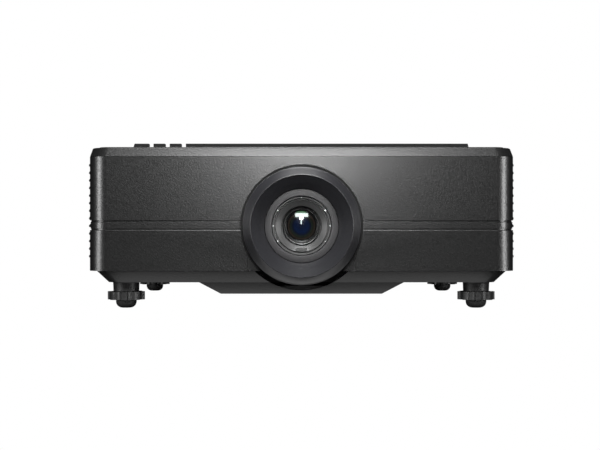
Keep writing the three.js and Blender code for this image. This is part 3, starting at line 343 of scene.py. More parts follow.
def dust_group():
    """Fine dust that settles on faces that look up."""
    inputs = [("Amount", FLOAT, 0.1), ("Scale", FLOAT, 900.0)]
    group, given, out = new_group("settled_dust", inputs, [("Mask", FLOAT)])
    nodes, links = group.nodes, group.links
    surface = nodes.new("ShaderNodeNewGeometry")
    parts = nodes.new("ShaderNodeSeparateXYZ")
    links.new(surface.outputs["Normal"], parts.inputs["Vector"])
    up = nodes.new("ShaderNodeMapRange")
    up.inputs["From Min"].default_value = 0.5
    links.new(parts.outputs["Z"], up.inputs["Value"])
    place = nodes.new("ShaderNodeTexCoord")
    specks = nodes.new("ShaderNodeTexNoise")
    specks.inputs["Detail"].default_value = 5.0
    links.new(place.outputs["Object"], specks.inputs["Vector"])
    links.new(given.outputs["Scale"], specks.inputs["Scale"])
    few = nodes.new("ShaderNodeMapRange")
    few.inputs["From Min"].default_value = 0.56
    few.inputs["From Max"].default_value = 0.72
    links.new(specks.outputs["Fac"], few.inputs["Value"])
    both = nodes.new("ShaderNodeMath")
    both.operation = "MULTIPLY"
    links.new(up.outputs["Result"], both.inputs[0])
    links.new(few.outputs["Result"], both.inputs[1])
    scaled = nodes.new("ShaderNodeMath")
    scaled.operation = "MULTIPLY"
    links.new(both.outputs[0], scaled.inputs[0])
    links.new(given.outputs["Amount"], scaled.inputs[1])
    links.new(scaled.outputs[0], out.inputs["Mask"])
    return group


GRAIN = moulded_grain_group()
WEAR = edge_wear_group()
DUST = dust_group()


def shader(name):
    material = bpy.data.materials.new(name)
    material.use_nodes = True
    nodes, links = material.node_tree.nodes, material.node_tree.links
    return material, nodes, links, nodes["Principled BSDF"]


def mix_colour(nodes, links, mask, low, high):
    """A colour between two, by a mask; either may be a colour or another node's socket."""
    mix = nodes.new("ShaderNodeMix")
    mix.data_type = "RGBA"
    links.new(mask, mix.inputs["Factor"])
    for index, value in ((6, low), (7, high)):
        if isinstance(value, tuple):
            mix.inputs[index].default_value = value
        else:
            links.new(value, mix.inputs[index])
    return mix.outputs[2]


def span(nodes, links, mask, low, high):
    """A number between two, by a mask."""
    reach = nodes.new("ShaderNodeMapRange")
    reach.inputs["From Min"].default_value = 0.3
    reach.inputs["From Max"].default_value = 0.7
    reach.inputs["To Min"].default_value = low
    reach.inputs["To Max"].default_value = high
    links.new(mask, reach.inputs["Value"])
    return reach.outputs["Result"]


def grey(value, tint=(1.0, 1.0, 1.0)):
    return (value * tint[0], value * tint[1], value * tint[2], 1.0)


def moulded_plastic(
    name, shade, rough, grain=1400.0, bump=0.12, wear=0.35, dust=0.05, tint=(1, 1, 1), seed=0.0,
    spread=0.03,
):
    """Moulded, spark-grained plastic with paler handled edges and a little settled dust."""
    material, nodes, links, surface = shader(name)
    texture = nodes.new("ShaderNodeGroup")
    texture.node_tree = GRAIN
    texture.inputs["Grain Scale"].default_value = grain
    texture.inputs["Seed"].default_value = seed
    base = mix_colour(
        nodes, links, texture.outputs["Speckle"], grey(shade * 0.8, tint), grey(shade * 1.25, tint),
    )
    if wear:
        edges = nodes.new("ShaderNodeGroup")
        edges.node_tree = WEAR
        edges.inputs["Amount"].default_value = wear
        base = mix_colour(nodes, links, edges.outputs["Mask"], base, grey(shade * 3.5 + 0.03, tint))
    if dust:
        settled = nodes.new("ShaderNodeGroup")
        settled.node_tree = DUST
        settled.inputs["Amount"].default_value = dust
        base = mix_colour(nodes, links, settled.outputs["Mask"], base, (0.45, 0.44, 0.42, 1.0))
    links.new(base, surface.inputs["Base Color"])
    links.new(
        span(nodes, links, texture.outputs["Speckle"], rough - spread, rough + spread),
        surface.inputs["Roughness"],
    )
    relief = nodes.new("ShaderNodeBump")
    relief.inputs["Strength"].default_value = bump
    relief.inputs["Distance"].default_value = 0.0002
    links.new(texture.outputs["Height"], relief.inputs["Height"])
    links.new(relief.outputs["Normal"], surface.inputs["Normal"])
    return material


def machined_metal(name, colour, rough, stretch=(1, 1, 1), scale=300.0, bump=0.05, metallic=1.0):
    """Metal with drawn or cast unevenness; stretch sets which way the marks run."""
    material, nodes, links, surface = shader(name)
    place = nodes.new("ShaderNodeTexCoord")
    lie = nodes.new("ShaderNodeMapping")
    lie.inputs["Scale"].default_value = stretch
    marks = nodes.new("ShaderNodeTexNoise")
    marks.inputs["Scale"].default_value = scale
    marks.inputs["Detail"].default_value = 4.0
    links.new(place.outputs["Object"], lie.inputs["Vector"])
    links.new(lie.outputs["Vector"], marks.inputs["Vector"])
    dark = tuple(c * 0.8 for c in colour[:3]) + (1.0,)
    links.new(mix_colour(nodes, links, marks.outputs["Fac"], dark, colour), surface.inputs["Base Color"])
    links.new(
        span(nodes, links, marks.outputs["Fac"], rough - 0.08, rough + 0.1),
        surface.inputs["Roughness"],
    )
    surface.inputs["Metallic"].default_value = metallic
    relief = nodes.new("ShaderNodeBump")
    relief.inputs["Strength"].default_value = bump
    relief.inputs["Distance"].default_value = 0.0003
    links.new(marks.outputs["Fac"], relief.inputs["Height"])
    links.new(relief.outputs["Normal"], surface.inputs["Normal"])
    return material


def coated_glass(name):
    """A deep coated lens, dark blue in the middle; towards its rim, rings of green and amber are painted
    into its colour as painted reflections of the inner lens rings.
    """
    material, nodes, links, surface = shader(name)
    place = nodes.new("ShaderNodeTexCoord")
    centre = nodes.new("ShaderNodeMapping")
    centre.inputs["Location"].default_value = (0, 0, -AXIS_Z)
    centre.inputs["Scale"].default_value = (1, 0, 1)
    reach = nodes.new("ShaderNodeVectorMath")
    reach.operation = "LENGTH"
    links.new(place.outputs["Object"], centre.inputs["Vector"])
    links.new(centre.outputs["Vector"], reach.inputs[0])
    # Painted reflection: colour rings set by distance from the lens axis stand in for the inner lens rings
    # seen through the glass; the dark blue middle is the coating's own tint.
    painted_rings = nodes.new("ShaderNodeValToRGB")
    stops = painted_rings.color_ramp.elements
    stops[0].position, stops[0].color = 0.0, (0.003, 0.006, 0.020, 1)
    stops[1].position, stops[1].color = 1.0, (0.006, 0.006, 0.007, 1)
    for position, colour in (
        (0.45, (0.004, 0.010, 0.035, 1)), (0.62, (0.004, 0.005, 0.010, 1)),
        (0.70, (0.016, 0.022, 0.016, 1)),
        (0.76, (0.004, 0.005, 0.004, 1)), (0.86, (0.030, 0.022, 0.017, 1)),
        (0.92, (0.006, 0.005, 0.005, 1)),
    ):
        stop = stops.new(position)
        stop.color = colour
    wide = nodes.new("ShaderNodeMapRange")
    wide.inputs["From Max"].default_value = 17.3 * MM
    links.new(reach.outputs["Value"], wide.inputs["Value"])
    links.new(wide.outputs["Result"], painted_rings.inputs["Fac"])
    links.new(painted_rings.outputs["Color"], surface.inputs["Base Color"])
    surface.inputs["Roughness"].default_value = 0.05
    surface.inputs["IOR"].default_value = 1.7
    surface.inputs["Specular Tint"].default_value = (0.80, 0.95, 0.90, 1.0)
    surface.inputs["Coat Weight"].default_value = 0.4
    surface.inputs["Coat Roughness"].default_value = 0.12
    return material


def circuit_board(name):
    """Green solder resist over a grid of copper tracks."""
    material, nodes, links, surface = shader(name)
    place = nodes.new("ShaderNodeTexCoord")
    tracks = nodes.new("ShaderNodeTexBrick")
    tracks.inputs["Scale"].default_value = 90.0
    tracks.inputs["Mortar Size"].default_value = 0.03
    tracks.inputs["Color1"].default_value = (0.010, 0.060, 0.026, 1.0)
    tracks.inputs["Color2"].default_value = (0.013, 0.075, 0.032, 1.0)
    tracks.inputs["Mortar"].default_value = (0.03, 0.14, 0.06, 1.0)
    links.new(place.outputs["Object"], tracks.inputs["Vector"])
    links.new(tracks.outputs["Color"], surface.inputs["Base Color"])
    surface.inputs["Roughness"].default_value = 0.35
    relief = nodes.new("ShaderNodeBump")
    relief.inputs["Strength"].default_value = 0.2
    relief.inputs["Distance"].default_value = 0.0002
    links.new(tracks.outputs["Fac"], relief.inputs["Height"])
    links.new(relief.outputs["Normal"], surface.inputs["Normal"])
    return material


M = {
    "case_black": moulded_plastic(
        "case_black", 0.0045, 0.34, grain=560.0, bump=0.42, wear=0.18, dust=0.0, spread=0.06,
    ),
    "pan_black": moulded_plastic(
        "pan_black", 0.008, 0.44, grain=420.0, bump=0.6, wear=0.15, dust=0.02, seed=2.0,
    ),
    "louvre_black": moulded_plastic(
        "louvre_black", 0.006, 0.46, grain=800.0, bump=0.2, wear=0.15, dust=0.03, seed=4.0,
    ),
    "ridge_black": moulded_plastic(
        "ridge_black", 0.003, 0.72, grain=900.0, bump=0.2, wear=0.1, dust=0.02, seed=5.0,
    ),
    "lens_satin": moulded_plastic(
        "lens_satin", 0.012, 0.40, grain=1500.0, bump=0.08, wear=0.0, dust=0.0,
        tint=(0.97, 0.97, 1.12), seed=6.0,
    ),
    "cell_satin": moulded_plastic(
        "cell_satin", 0.045, 0.42, grain=1500.0, bump=0.05, wear=0.0, dust=0.0, seed=16.0,
    ),
    "ring_black": moulded_plastic(
        "ring_black", 0.003, 0.30, grain=1500.0, bump=0.03, wear=0.0, dust=0.0, seed=17.0,
    ),
    "barrel_grey": machined_metal(
        "barrel_grey", (0.040, 0.039, 0.041, 1.0), 0.50, (1, 1, 1), 700.0, 0.06, 0.3,
    ),
    "coated_glass": coated_glass("coated_glass"),
    "foot_black": moulded_plastic("foot_black", 0.005, 0.48, bump=0.2, wear=0.4, dust=0.04, seed=8.0),
    "foot_rubber": moulded_plastic(
        "foot_rubber", 0.008, 0.68, grain=900.0, bump=0.3, wear=0.0, dust=0.03, seed=9.0,
    ),
    "cast_aluminium": machined_metal(
        "cast_aluminium", (0.55, 0.56, 0.58, 1.0), 0.45, (1, 1, 1), 260.0, 0.12,
    ),
    "sheet_steel": machined_metal("sheet_steel", (0.60, 0.61, 0.62, 1.0), 0.32, (1, 12, 12), 90.0, 0.04),
    "board_green": circuit_board("board_green"),
    "fan_black": moulded_plastic("fan_black", 0.012, 0.42, bump=0.08, wear=0.2, dust=0.08, seed=11.0),
    "socket_steel": machined_metal("socket_steel", (0.62, 0.63, 0.64, 1.0), 0.26, (1, 12, 1), 120.0, 0.03),
    "socket_black": moulded_plastic("socket_black", 0.009, 0.40, bump=0.06, wear=0.2, dust=0.03, seed=12.0),
    "key_grey": moulded_plastic(
        "key_grey", 0.035, 0.55, grain=1000.0, bump=0.1, wear=0.3, dust=0.03, seed=13.0,
    ),
    "contact_gold": machined_metal("contact_gold", (0.75, 0.55, 0.20, 1.0), 0.28, (1, 6, 1), 200.0, 0.03),
    "key_legend": moulded_plastic(
        "key_legend", 0.45, 0.5, grain=1600.0, bump=0.05, wear=0.0, dust=0.02, seed=15.0,
    ),
    "wheel_yellow": moulded_plastic(
        "wheel_yellow", 0.55, 0.6, wear=0.0, dust=0.0, tint=(1.0, 0.85, 0.25), seed=14.0,
    ),
}
M["ridge_black"].node_tree.nodes["Principled BSDF"].inputs["Specular IOR Level"].default_value = 0.2

for row in frame["record"]["subparts"]:
    node = frame["nodes"][row["node"]]
    node.data.materials.clear()
    node.data.materials.append(M[row["material_slot"]])


def y(local):
    """A depth behind the front face, from millimetres."""
    return FACE_Y + local * MM


def near(a, b, reach=0.0001):
    return abs(a - b) < reach


def case_block(name, low, high, inset=0.0, back=None):
    """The case outline between two heights: big front corners, small rear ones if it runs to the back."""
    half = HALF_WIDTH - inset
    front = FACE_Y + inset
    rear = REAR_Y - inset if back is None else back
    piece = block(name, (-half, front, low), (half, rear, high))

    def corner(at_y):
        return lambda a, b: near(a.x, b.x) and near(a.y, at_y) and near(b.y, at_y) and not near(a.z, b.z)

    round_edges(piece, FRONT_RADIUS - inset, 14, corner(front))
    if back is None:
        round_edges(piece, REAR_RADIUS - min(inset, REAR_RADIUS - 1 * MM), 8, corner(rear))
    return piece


# ---------- front bezel and lens trim ----------

bezel = case_block("front_bezel_shell", SEAM_Z, TOP_SEAM_Z, back=BEZEL_END - 0.1 * MM)
cut(bezel, case_block("inside", SEAM_Z + WALL, TOP_SEAM_Z + 0.01, inset=WALL, back=BEZEL_END + 0.01))
cut(bezel, case_block("inside", SEAM_Z - 0.01, SEAM_Z + WALL + 0.001, inset=LEDGE, back=BEZEL_END + 0.01))
for low, high, inset in (
    (BELT_LOW, BELT_HIGH, BELT_RECESS),
    (BELT_LOW - GROOVE_WIDTH, BELT_LOW, GROOVE_DEPTH),
    (BELT_HIGH, BELT_HIGH + GROOVE_WIDTH, GROOVE_DEPTH),
):
    ring = block("ring", (-0.3, FACE_Y - 0.02, low), (0.3, BEZEL_END + 0.02, high))
    cut(ring, case_block("core", low - 0.01, high + 0.01, inset=inset, back=BEZEL_END + 0.05))
    cut(bezel, ring)
cut(bezel, rod("hole", BEZEL_HOLE, FACE_Y - 0.01, FACE_Y + WALL + 0.0005, across=(0, AXIS_Z), sides=160))
cut(bezel, rod("notch", 49.2 * MM, FACE_Y + 0.001, BEZEL_END + 0.01, across=(0, AXIS_Z), sides=96))
groove = rod(
    "groove", GROOVE_OUTER, FACE_Y - 0.01, FACE_Y + ROUND_GROOVE_DEPTH, across=(0, AXIS_Z),
    sides=192,
)
cut(groove, rod("core", GROOVE_INNER, FACE_Y - 0.02, FACE_Y + 0.01, across=(0, AXIS_Z), sides=192))
cut(bezel, groove)
trim = twin(bezel, "lens_trim_shell")
window = block(
    "window", (-TRIM_HALF, FACE_Y - 0.01, SEAM_Z - 0.01),
    (TRIM_HALF, BEZEL_END, SEAM_Z + TRIM_HEIGHT),
)
keep(trim, window)
spare = TRIM_HALF + SEAM_GAP
cut(
    bezel,
    block(
        "window", (-spare, FACE_Y - 0.01, SEAM_Z - 0.01),
        (spare, BEZEL_END + 0.01, SEAM_Z + TRIM_HEIGHT + SEAM_GAP),
    ),
)


def inset_of(point):
    """How far a point lies inside the case outline at the front."""
    across = abs(point.x) - (HALF_WIDTH - FRONT_RADIUS)
    behind = FACE_Y + FRONT_RADIUS - point.y
    if across > 0 and behind > 0:
        return FRONT_RADIUS - math.hypot(across, behind)
    return min(HALF_WIDTH - abs(point.x), point.y - FACE_Y)


def groove_lip(height, inset):
    return lambda a, b: all(near(end.z, height) and near(inset_of(end), inset, 0.0002) for end in (a, b))


round_edges(bezel, 0.9 * MM, 3, groove_lip(BELT_HIGH, BELT_RECESS))
round_edges(bezel, 0.9 * MM, 3, groove_lip(BELT_LOW - GROOVE_WIDTH, 0))
soften(bezel, 0.4 * MM)
soften(trim, 0.4 * MM)
for shell in (bezel, trim):
    for vertex in shell.data.vertices:
        below = BELT_LOW - GROOVE_WIDTH - vertex.co.z
        if below > 0 and vertex.co.y < FACE_Y + SLOPED_RIM:
            vertex.co.y += LOWER_TILT * below * (1 - (vertex.co.y - FACE_Y) / SLOPED_RIM)
finish_piece(bezel, M["case_black"], "case", "front_bezel", slot="case_black")
finish_piece(trim, M["case_black"], "case", "lens_lower_trim", slot="case_black")
# A near-black ring sunk in the round groove round the lens surround: painted shade, a dark line standing in
# for the shadow in the gap between the surround and the face.
shade_ring = turned(
    "surround_shade_ring",
    [(66.95 * MM, 0.3 * MM), (69.5 * MM, 0.3 * MM), (69.5 * MM, 1.95 * MM), (66.95 * MM, 1.95 * MM)],
    192, "Y", (0, FACE_Y, AXIS_Z),
)
cut(shade_ring, block("below", (-0.1, FACE_Y - 0.05, -0.1), (0.1, FACE_Y + 0.05, SEAM_Z + 2 * MM)))
finish_piece(shade_ring, M["ridge_black"], "case", slot="louvre_black")

# ---------- top cover and ridge ----------

lid = case_block("top_cover_shell", lid_low.z, lid_high.z)
only(lid)
bpy.ops.object.mode_set(mode="EDIT")
bpy.ops.mesh.select_mode(type="VERT")
bpy.ops.mesh.select_all(action="DESELECT")
mesh = bmesh.from_edit_mesh(lid.data)
for vertex in mesh.verts:
    vertex.select_set(vertex.co.z > (lid_low.z + lid_high.z) / 2)
mesh.select_flush(True)
bmesh.update_edit_mesh(lid.data)
half_depth = (REAR_Y - FACE_Y) / 2
bpy.ops.transform.resize(
    value=((HALF_WIDTH - LID_SIDE_SETBACK) / HALF_WIDTH, (half_depth - LID_END_SETBACK) / half_depth, 1),
    center_override=(0, (FACE_Y + REAR_Y) / 2, 0),
)
bpy.ops.object.mode_set(mode="OBJECT")
round_edges(lid, 1.5 * MM, 4, lambda a, b: near(a.z, lid_high.z) and near(b.z, lid_high.z))
cut(lid, case_block("inside", lid_low.z - 0.01, lid_high.z - WALL, inset=LID_RIM))
crown = case_block("crown", lid_high.z - 1 * MM, lid_high.z + 0.7 * MM, inset=11 * MM)
round_edges(crown, 0.65 * MM, 3, lambda a, b: a.z > lid_high.z and b.z > lid_high.z)
soften(lid, 0.3 * MM)
lid = gather("top_cover_shell", [lid, crown])
only(lid)
bpy.ops.object.shade_smooth_by_angle(angle=math.radians(38))
finish_piece(lid, M["case_black"], "case", "top_cover", slot="case_black")

ridge_low, ridge_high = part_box("top_ridge")
ridge = block("top_ridge_bar", ridge_low, ridge_high)
for vertex in ridge.data.vertices:
    if vertex.co.z > (ridge_low.z + ridge_high.z) / 2:
        vertex.co.x -= math.copysign(RIDGE_END_SLANT, vertex.co.x)
notches = []
for step in range(3):
    left = FIRST_NOTCH + step * NOTCH_PITCH - NOTCH_WIDTH / 2
    notches.append(
        block(
            "notch", (left, ridge_low.y - 0.01, ridge_low.z + 1 * MM),
            (left + NOTCH_WIDTH, ridge_high.y + 0.01, ridge_high.z + 0.01),
        )
    )
cut(ridge, gather("notches", notches))
soften(ridge, 0.6 * MM, 3)
finish_piece(ridge, M["ridge_black"], "case", "top_ridge", slot="louvre_black")

# ---------- louvred side covers ----------

LOUVRES = 13
PITCH = 8.75 * MM
FIRST_BLADE = SEAM_Z + 14.5 * MM
BLADE_LOW_Y, BLADE_HIGH_Y = y(35.3), y(489.7)
cover_low, cover_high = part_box("right_side_cover")
PROUD = cover_high.x - HALF_WIDTH
side = block(
    "right_side_shell", (HALF_WIDTH - WALL, cover_low.y, cover_low.z),
    (HALF_WIDTH, cover_high.y, cover_high.z),
)
ledge = block(
    "ledge", (HALF_WIDTH - LEDGE, cover_low.y, cover_low.z),
    (HALF_WIDTH - WALL / 2, cover_high.y, cover_low.z + WALL),
)
join(side, ledge)
slots = []
bank = (BLADE_HIGH_Y - BLADE_LOW_Y - 6 * MM - 2 * 14 * MM) / 3
for row in range(LOUVRES):
    top = FIRST_BLADE + row * PITCH - 0.4 * MM
    for column in range(3):
        start = BLADE_LOW_Y + 3 * MM + column * (bank + 14 * MM)
        slots.append(
            block(
                "slot", (HALF_WIDTH - 0.02, start, top - 2.8 * MM),
                (HALF_WIDTH + 0.01, start + bank, top),
            ),
        )
cut(side, gather("slots", slots))
soften(side, 0.4 * MM)
blade = block(
    "blade", (HALF_WIDTH - 0.2 * MM, BLADE_LOW_Y, FIRST_BLADE), (
        HALF_WIDTH + PROUD, BLADE_HIGH_Y, FIRST_BLADE + 5.2 * MM,
    )
)
for vertex in blade.data.vertices:
    if vertex.co.x > HALF_WIDTH + PROUD / 2 and vertex.co.z > FIRST_BLADE + MM:
        vertex.co.z -= 2.8 * MM
round_edges(blade, 0.7 * MM, 3, lambda a, b: a.x > HALF_WIDTH + PROUD / 2 and b.x > HALF_WIDTH + PROUD / 2)
blades = [blade] + [twin(blade, "blade", (0, 0, row * PITCH)) for row in range(1, LOUVRES)]
blades = gather("blades", blades)
soften(blades, 0.25 * MM)
right_side = gather("right_side_shell", [side, blades])
left_side = twin(right_side, "left_side_shell", flip_x=True)
finish_piece(right_side, M["louvre_black"], "case", "right_side_cover", slot="louvre_black")
finish_piece(left_side, M["louvre_black"], "case", "left_side_cover", slot="louvre_black")

# ---------- bottom pan with its hump ----------

PAN_TOP, PAN_FLOOR, HUMP_LOW = SEAM_Z - 0.5 * MM, SEAM_Z - PAN_DEPTH, PAN_LOW


def pan_block(name, low, high, inset_top, inset_low, extra=0.0):
    """The pan outline, sloping in towards its floor."""
    half = HALF_WIDTH - inset_top
    piece = block(name, (-half, FACE_Y + inset_top, low), (half, REAR_Y - inset_top, high))
    round_edges(piece, 14 * MM - extra, 10, lambda a, b: near(a.x, b.x) and near(a.y, b.y))
    middle_y = (FACE_Y + REAR_Y) / 2
    half_y = (REAR_Y - FACE_Y) / 2 - inset_top
    for vertex in piece.data.vertices:
        if vertex.co.z < (low + high) / 2:
            vertex.co.x *= (HALF_WIDTH - inset_low) / half
            vertex.co.y = middle_y + (vertex.co.y - middle_y) * ((REAR_Y - FACE_Y) / 2 - inset_low) / half_y
    return piece


def hump_block(name, shrink, top, low):
    top_half, low_half = 119 * MM - shrink, 92.5 * MM - shrink
    piece = block(name, (-top_half, y(20) + shrink, low), (top_half, y(182) - shrink, top))
    for vertex in piece.data.vertices:
        if vertex.co.z < (low + top) / 2:
            vertex.co.x = math.copysign(low_half, vertex.co.x)
            if vertex.co.y < y(60):
                vertex.co.y += 7 * MM
            else:
                vertex.co.y -= 7 * MM
    return piece


pan = pan_block("bottom_pan_tray", PAN_FLOOR, PAN_TOP, PAN_INSET, PAN_FLOOR_INSET)
join(pan, hump_block("hump", 0, PAN_FLOOR + 1 * MM, HUMP_LOW))
FEET = {}
for place in ("front_left", "front_right", "rear_left", "rear_right"):
    knob_low, knob_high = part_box("foot_knob_" + place)
    FEET[place] = ((knob_low.x + knob_high.x) / 2, (knob_low.y + knob_high.y) / 2)
    boss = turned(
        "boss",
        [
            (6.5 * MM, 19.3 * MM), (14.6 * MM, 19.3 * MM), (15 * MM, 19.9 * MM),
            (15.4 * MM, 29 * MM), (17 * MM, 31.6 * MM), (6.5 * MM, 31.6 * MM),
        ],
        steps=64,
        axis="Z",
        centre=(FEET[place][0], FEET[place][1], 0),
    )
    join(pan, boss)
cut(pan, pan_block("inside", PAN_FLOOR + WALL, PAN_TOP + 0.001, 11 * MM, 23 * MM, extra=3 * MM))
cut(pan, hump_block("inside", WALL, PAN_FLOOR + WALL + 0.001, HUMP_LOW + WALL))
recess = rod("recess", RECESS_RADIUS, FACE_Y - 0.01, y(27), across=(0, AXIS_Z), sides=160)
collar = rod("collar", RECESS_RADIUS + WALL, FACE_Y + 0.005, y(30), across=(0, AXIS_Z), sides=160)
keep(collar, pan_block("space", PAN_FLOOR, PAN_TOP, PAN_INSET, PAN_FLOOR_INSET))
join(pan, collar)
cut(pan, recess)
cut(pan, rod("way", 63 * MM, FACE_Y + 0.005, y(40), across=(0, AXIS_Z), sides=96))
soften(pan, 0.5 * MM)
finish_piece(pan, M["pan_black"], "case", "bottom_pan", slot="pan_black")

# ---------- screw feet ----------


def foot_knob(name, x, place_y, low, high, stud_top):
    """A lobed hand wheel with its threaded stud."""
    knob = rod(name, 21.6 * MM, low, high, axis="Z", across=(x, place_y), sides=128)
    scallops = []
    for lobe in range(8):
        angle = math.radians(22.5 + lobe * 45)
        across = (x + 26.0 * MM * math.cos(angle), place_y + 26.0 * MM * math.sin(angle))
        scallops.append(
            rod("scallop", 7.3 * MM, low - 0.01, high + 0.01, axis="Z", across=across, sides=40),
        )
    cut(knob, gather("scallops", scallops))
    soften(knob, 1.0 * MM, 3)
    profile = [(0, high - 0.3 * MM)]
    turns = 9
    for turn in range(turns):
        base = high + (stud_top - high) * turn / turns
        rise = (stud_top - high) / turns
        profile += [
            (5.3 * MM, base + 0.1 * rise), (5.9 * MM, base + 0.45 * rise),
            (5.9 * MM, base + 0.6 * rise),
        ]
    profile += [(5.3 * MM, stud_top), (0, stud_top)]
    stud = turned("stud", profile, steps=40, axis="Z", centre=(x, place_y, 0))
    only(stud)
    bpy.ops.object.shade_smooth_by_angle(angle=math.radians(30))
    return gather(name, [knob, stud])


for place, (x, place_y) in FEET.items():
    knob_low, knob_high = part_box("foot_knob_" + place)
    knob = foot_knob("knob_" + place, x, place_y, knob_low.z, 19.0 * MM, knob_high.z)
    finish_piece(knob, M["foot_black"], "knob_" + place, "foot_knob_" + place, slot="foot_black")
    pad_low, pad_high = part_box("foot_pad_" + place)
    radius = (pad_high.x - pad_low.x) / 2
    base = pad_low.z
    pad = turned(
        "pad_" + place,
        [
            (0, base), (radius * 0.46, base), (radius * 0.62, base + 0.45 * MM),
            (radius * 0.77, base + 1.5 * MM),
            (radius * 0.89, base + 3.0 * MM), (radius * 0.965, base + 4.9 * MM),
            (radius, base + 7.0 * MM), (radius, pad_high.z - 1.1 * MM),
            (radius * 0.96, pad_high.z - 0.1 * MM), (0, pad_high.z - 0.1 * MM),
        ],
        steps=72,
        axis="Z",
        centre=(x, place_y, 0),
    )
    only(pad)
    bpy.ops.object.shade_smooth_by_angle(angle=math.radians(40))
    finish_piece(pad, M["foot_rubber"], "foot_" + place, "foot_pad_" + place, slot="foot_rubber")

# ---------- lens surround, barrel nose, focus cell and glass ----------

LENS_CENTRE = (0, FACE_Y, AXIS_Z)
GLASS_RADIUS = 17.3
GLASS_CURVE = 73.0  # radius of the front lens surface, in millimetres like its profile


def lens_turned(name, profile, steps=160):
    """A lens part from a profile in millimetres: radius, and depth behind the face."""
    piece = turned(name, [(radius * MM, depth * MM) for radius, depth in profile], steps, "Y", LENS_CENTRE)
    only(piece)
    bpy.ops.object.shade_smooth_by_angle(angle=math.radians(34))
    return piece


funnel = [
    (66.5, -1.5), (66.5, -5.6), (66.3, -6.0), (65.2, -7.2), (64.9, -7.9), (57.9, -23.4),
    (57.6, -23.85), (57.3, -24.0),
    (57.1, -24.0), (56.9, -23.8), (56.7, -23.4), (55.6, -21.4), (50.6, -14.6), (46.7, -7.6),
    (43.4, -1.9), (42.45, -0.6),
    (42.15, 0.2), (42.15, 2.3), (46.0, 2.3), (46.0, -0.6), (49.5, -2.6), (56.0, -4.4), (62.4, -4.4),
    (62.4, -1.5),
]
surround = lens_turned("lens_surround_funnel", funnel, 192)
finish_piece(surround, M["lens_satin"], "lens", "lens_surround_ring", slot="lens_satin")

barrel = lens_turned(
    "lens_barrel_tube",
    [
        (33.9, 0.9), (34.4, 0.4), (41.0, 0.35), (41.5, 0.55), (41.7, 1.0), (41.7, 18.0),
        (47.6, 18.0), (48.0, 18.5),
        (48.0, 100.0), (40.0, 100.3), (40.0, 130.9), (28.0, 130.9), (28.0, 58.0), (33.8, 56.0),
        (33.8, 30.0), (33.8, 3.0),
    ],
)
finish_piece(barrel, M["barrel_grey"], "lens", "lens_barrel", slot="barrel_grey")

cell = lens_turned(
    "focus_cell_cone",
    [
        (33.2, 6.2), (32.9, 5.9), (32.0, 5.9), (30.9, 7.2), (30.8, 10.2), (30.0, 10.2), (29.9, 7.6),
        (29.5, 7.3), (28.9, 7.6), (28.7, 9.0), (23.6, 12.0),
        (23.0, 12.2), (22.7, 12.6), (22.6, 21.6), (21.9, 21.6), (20.4, 22.2), (20.4, 24.0),
        (18.4, 24.0), (18.2, 27.9), (33.3, 27.9),
    ],
)
tab = block("tab", (-6.4 * MM, y(6.9), AXIS_Z - 29.0 * MM), (5.8 * MM, y(12.5), AXIS_Z - 24.6 * MM))
soften(tab, 0.5 * MM, 3)
pins = []
for degrees in (0, 33, 90, 147, 180, 213, 327):
    angle = math.radians(degrees)
    place = (32.2 * MM * math.cos(angle), AXIS_Z + 32.2 * MM * math.sin(angle))
    pin = rod("pin", 0.95 * MM, y(5.1), y(7), across=place, sides=20)
    soften(pin, 0.3 * MM, 2)
    pins.append(pin)
finish_piece(gather("flange_pins", pins), M["sheet_steel"], "focus_cell", slot="lens_satin")
cell_piece = gather("focus_cell_cone", [cell, tab])
finish_piece(cell_piece, M["cell_satin"], "focus_cell", "focus_lens_cell", slot="lens_satin")

rings = lens_turned(
    "lens_retaining_rings",
    [
        (21.3, 15.9), (21.0, 15.6), (20.3, 15.7), (20.0, 16.0), (19.8, 18.2), (19.3, 18.2),
        (19.1, 17.2), (18.8, 17.0),
        (17.9, 17.2), (17.5, 17.6), (17.4, 21.9), (21.3, 21.9),
    ],
)
finish_piece(rings, M["ring_black"], "focus_cell", slot="lens_satin")
across_dome = [GLASS_RADIUS * step / 14 for step in range(15)]
dome = [(across, 16.9 + across**2 / (2 * GLASS_CURVE)) for across in across_dome]
glass = lens_turned("front_lens", dome + [(GLASS_RADIUS, 21.8), (0, 21.8)])
finish_piece(glass, M["coated_glass"], "focus_cell", "front_glass", slot="coated_glass")

# ---------- rear panel, sockets and keypad ----------


def refined(node, name, width=0.3 * MM):
    """A copy of a CAD node with its loose faces merged and its edges rounded."""
    piece = bpy.data.objects.new(name, frame["nodes"][node].data.copy())
    bpy.context.collection.objects.link(piece)
    only(piece)
    bpy.ops.object.mode_set(mode="EDIT")
    bpy.ops.mesh.select_all(action="SELECT")
    bpy.ops.mesh.remove_doubles(threshold=1e-5)
    bpy.ops.object.mode_set(mode="OBJECT")
    return soften(piece, width)


finish_piece(
    refined("rear_panel", "rear_panel_shell"), M["case_black"], "case", "rear_panel",
    slot="case_black",
)
finish_piece(
    refined("keypad_plate", "keypad_bezel"), M["pan_black"], "case", "keypad_plate",
    slot="pan_black",
)
finish_piece(refined("ac_inlet", "mains_inlet"), M["socket_black"], "case", "ac_inlet", slot="socket_black")
finish_piece(
    refined("power_rocker", "mains_rocker", 0.5 * MM), M["socket_black"], "power_rocker",
    "power_rocker", slot="socket_black",
)
for node in ("hdmi_socket_a", "hdmi_socket_b", "network_socket", "usb_socket"):
    finish_piece(
        refined(node, node + "_shell", 0.2 * MM), M["socket_steel"], "case", node,
        slot="socket_steel",
    )
KEYS = ("power", "menu", "source", "up", "down", "left", "right", "enter")
for key in KEYS:
    finish_piece(
        refined(key + "_button", key + "_cap", 0.6 * MM), M["key_grey"], key + "_key",
        key + "_button", slot="key_grey",
    )


def middle(node):
    low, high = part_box(node)
    return (low.x + high.x) / 2, (low.z + high.z) / 2


